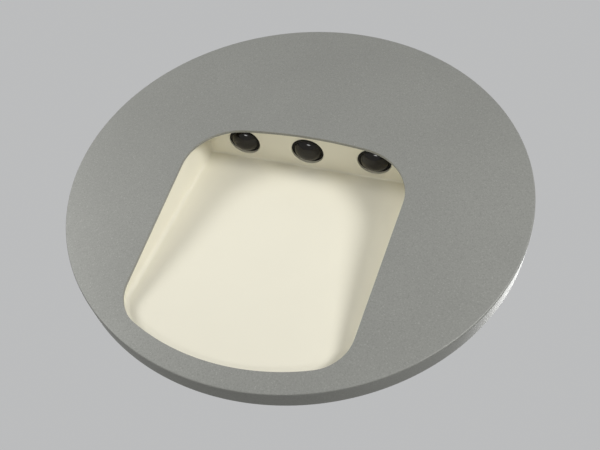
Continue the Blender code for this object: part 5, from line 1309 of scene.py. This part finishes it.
ear_outline = arc((PIVOT_X, -PIVOT_DEPTH), EAR_RADIUS, EAR_SWEEP, -EAR_SWEEP, 25)
ear_root = BRACKET_INNER + BRACKET_SHEET / 2
ear_outline += [(ear_root, -BRACKET_REAR + BRACKET_SHEET), (ear_root, -BRACKET_FRONT - BRACKET_SHEET)]
ear_face = BRACKET_HALF_HEIGHT + FIT
pin_low = -ear_face - PIN_HEAD_HEIGHT
pin_profile = eased([(0, -pin_low), (PIN_HEAD, -pin_low), (PIN_HEAD, ear_face), (PIN_RADIUS, ear_face),
                     (PIN_RADIUS, pin_low), (0, pin_low)], PIN_HEAD_HEIGHT / 3)
for word, _, out in SIDES:
    channel = block("clip_channel_" + word, (BRACKET_INNER, -BRACKET_HALF_HEIGHT, -BRACKET_REAR),
                    (BRACKET_FACE, BRACKET_HALF_HEIGHT, -BRACKET_FRONT), out)
    edge = BRACKET_HALF_HEIGHT - MERGE
    join(channel, *[slab("ear", ear_outline, *sorted((end * edge, end * (edge - BRACKET_SHEET))), out @ PLAN)
                    for end in (-1, 1)])
    cut(channel, hole(PIN_HOLE, -BRACKET_HALF_HEIGHT, BRACKET_HALF_HEIGHT, out @ PIVOT @ UP))
    for end, depth in zip(("front", "rear"), BRACKET_SCREWS):
        at = out @ place(0, 0, -depth) @ Matrix.Rotation(QUARTER, 4, "Y")
        cut(channel, hole(M2_HOLE, BRACKET_INNER, BRACKET_FACE, at))
        pan_screw(f"clip_screw_{word}_{end}", f"bracket_screw_{word}_{end}", BRACKET_FACE + FIT,
                  PAD_FACE - PAD_SINK + FIT * 2, M2_SCREW, at)
    finished(soften(channel, BRACKET_SHEET / 7, 2), zinc_look, "bracket_" + word)
    finished(turned("clip_pin_" + word, pin_profile, out @ PIVOT @ UP, 64), zinc_look,
             "pivot_pin_" + word)

# Clip arms
# Glass-filled black plastic, with a split boss on the pin, a tapering blade and a heel that stops
# it at rest. A soft rubber sleeve over its end presses on the back of the wall.
ARM_REST = 46.6 * DEGREE
ARM_LENGTH = 20.6 * MM
ARM_BOSS = 2.6 * MM
ARM_HALF_HEIGHT = 9.2 * MM
ARM_TIP_HALF_HEIGHT = 5.5 * MM
ARM_SLOT_HALF_HEIGHT = 4.9 * MM
ARM_SLOT_LENGTH = 6.6 * MM
ARM_LOW = 1.45 * MM
ARM_HIGH = 0.15 * MM
ARM_HEEL_HALF = 0.9 * MM
ARM_HEEL = 2.865 * MM
TIP_LENGTH = 6 * MM
TIP_WALL = 0.8 * MM
TIP_GROOVES = 3
TIP_GROOVE = 0.25 * MM
TIP_ROUND_SHARE = 0.45
ARM_EDGE = 0.15 * MM
ARM_BLACK = (0.024, 0.024, 0.025)
ARM_GRAIN = (0.5 * MM, 0.02 * MM)

arm_look = moulded("glass_filled_plastic", ARM_BLACK, 0.5, ARM_GRAIN)
arm_outline = arc((0, 0), ARM_BOSS, -math.asin(ARM_LOW / ARM_BOSS),
                  math.asin(ARM_HIGH / ARM_BOSS) - 2 * math.pi, 61)
arm_outline += [(ARM_LENGTH, ARM_HIGH), (ARM_LENGTH, -ARM_LOW)]
heel_outline = [(ARM_HEEL_HALF, 0), (ARM_HEEL_HALF, ARM_HEEL), (-ARM_HEEL_HALF, ARM_HEEL),
                (-ARM_HEEL_HALF, 0)]
back = ARM_BOSS + ARM_HEEL
for word, _, out in SIDES:
    lean = out @ PIVOT @ Matrix.Rotation(-ARM_REST, 4, "Y")
    arm = slab("clip_arm_" + word, arm_outline, -ARM_HALF_HEIGHT, ARM_HALF_HEIGHT, lean @ PLAN)
    join(arm, slab("heel", heel_outline, -ARM_HALF_HEIGHT + MERGE, ARM_HALF_HEIGHT - MERGE, lean @ PLAN))
    cut(arm, hole(PIN_HOLE, -ARM_HALF_HEIGHT, ARM_HALF_HEIGHT, lean @ UP, 64),
        block("arm_slot", (-back, -ARM_SLOT_HALF_HEIGHT, -back),
              (ARM_SLOT_LENGTH, ARM_SLOT_HALF_HEIGHT, back), lean))
    for end in (-1, 1):
        beyond = end * (ARM_HALF_HEIGHT + OVERRUN)
        wedge = [(ARM_SLOT_LENGTH, beyond), (ARM_SLOT_LENGTH, end * ARM_HALF_HEIGHT),
                 (ARM_LENGTH - TIP_LENGTH - FIT, end * ARM_TIP_HALF_HEIGHT),
                 (ARM_LENGTH + OVERRUN, end * ARM_TIP_HALF_HEIGHT), (ARM_LENGTH + OVERRUN, beyond)]
        cut(arm, slab("arm_taper", wedge, -back, back, lean))
    finished(soften(arm, ARM_EDGE, 2), arm_look, "arm_" + word, "clip_" + word)
    tip_start, tip_end = ARM_LENGTH - TIP_LENGTH, ARM_LENGTH + TIP_WALL + FIT
    reach, low, high = ARM_TIP_HALF_HEIGHT + FIT, -ARM_LOW - FIT, ARM_HIGH + FIT
    tip = soften(block("clip_tip_" + word, (tip_start, -reach - TIP_WALL, low - TIP_WALL),
                       (tip_end, reach + TIP_WALL, high + TIP_WALL), lean), TIP_WALL * TIP_ROUND_SHARE, 4)
    cut(tip, block("tip_hollow", (tip_start - OVERRUN, -reach, low), (ARM_LENGTH + FIT, reach, high), lean))
    for i in range(TIP_GROOVES):
        x = tip_start + (tip_end - tip_start) * (i + 1) / (TIP_GROOVES + 1)
        cut(tip, block("tip_groove", (x - TIP_GROOVE, -reach * 2, high + TIP_WALL - TIP_GROOVE),
                       (x + TIP_GROOVE, reach * 2, high + TIP_WALL + OVERRUN), lean))
    finished(tip, rubber_look, "arm_tip_" + word, "clip_" + word)

# Clip springs
# Torsion springs of hard drawn wire, wound round each pin. One leg lies along the bracket and
# the other pushes the arm, so the coil twists between the light and the arm.
SPRING_WIRE = 0.9 * MM
SPRING_RADIUS = 2.2 * MM
SPRING_TURNS = 4
SPRING_HALF_LENGTH = 3.5 * MM
SPRING_FIXED_LEG = 5 * MM
SPRING_MOVING_LEG = 9.4 * MM
SPRING_POINTS = 36
SPRING_STEEL = (0.42, 0.41, 0.39)
SPRING_GRAIN = 0.2 * MM

spring_look = metal("spring_wire", SPRING_STEEL, 0.3, SPRING_GRAIN)
spring_start = math.pi
spring_sweep = ARM_REST - QUARTER - spring_start + 2 * math.pi * (SPRING_TURNS + 1)
spring_count = int(SPRING_POINTS * spring_sweep / (2 * math.pi))
spring_route = [(-SPRING_RADIUS, -SPRING_HALF_LENGTH, SPRING_FIXED_LEG)]
for i in range(spring_count + 1):
    angle = spring_start + spring_sweep * i / spring_count
    spring_route.append((SPRING_RADIUS * math.cos(angle), SPRING_HALF_LENGTH * (2 * i / spring_count - 1),
                         SPRING_RADIUS * math.sin(angle)))
moving_leg = Vector((math.cos(ARM_REST), 0, math.sin(ARM_REST))) * SPRING_MOVING_LEG
spring_route.append(tuple(Vector(spring_route[-1]) + moving_leg))
for word, side, out in SIDES:
    spring = wire("clip_spring_" + word, spring_route, SPRING_WIRE / 2, out @ PIVOT)
    finished(spring, spring_look, "spring_" + word, body=None)
    "clip_" + word
    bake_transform(spring)
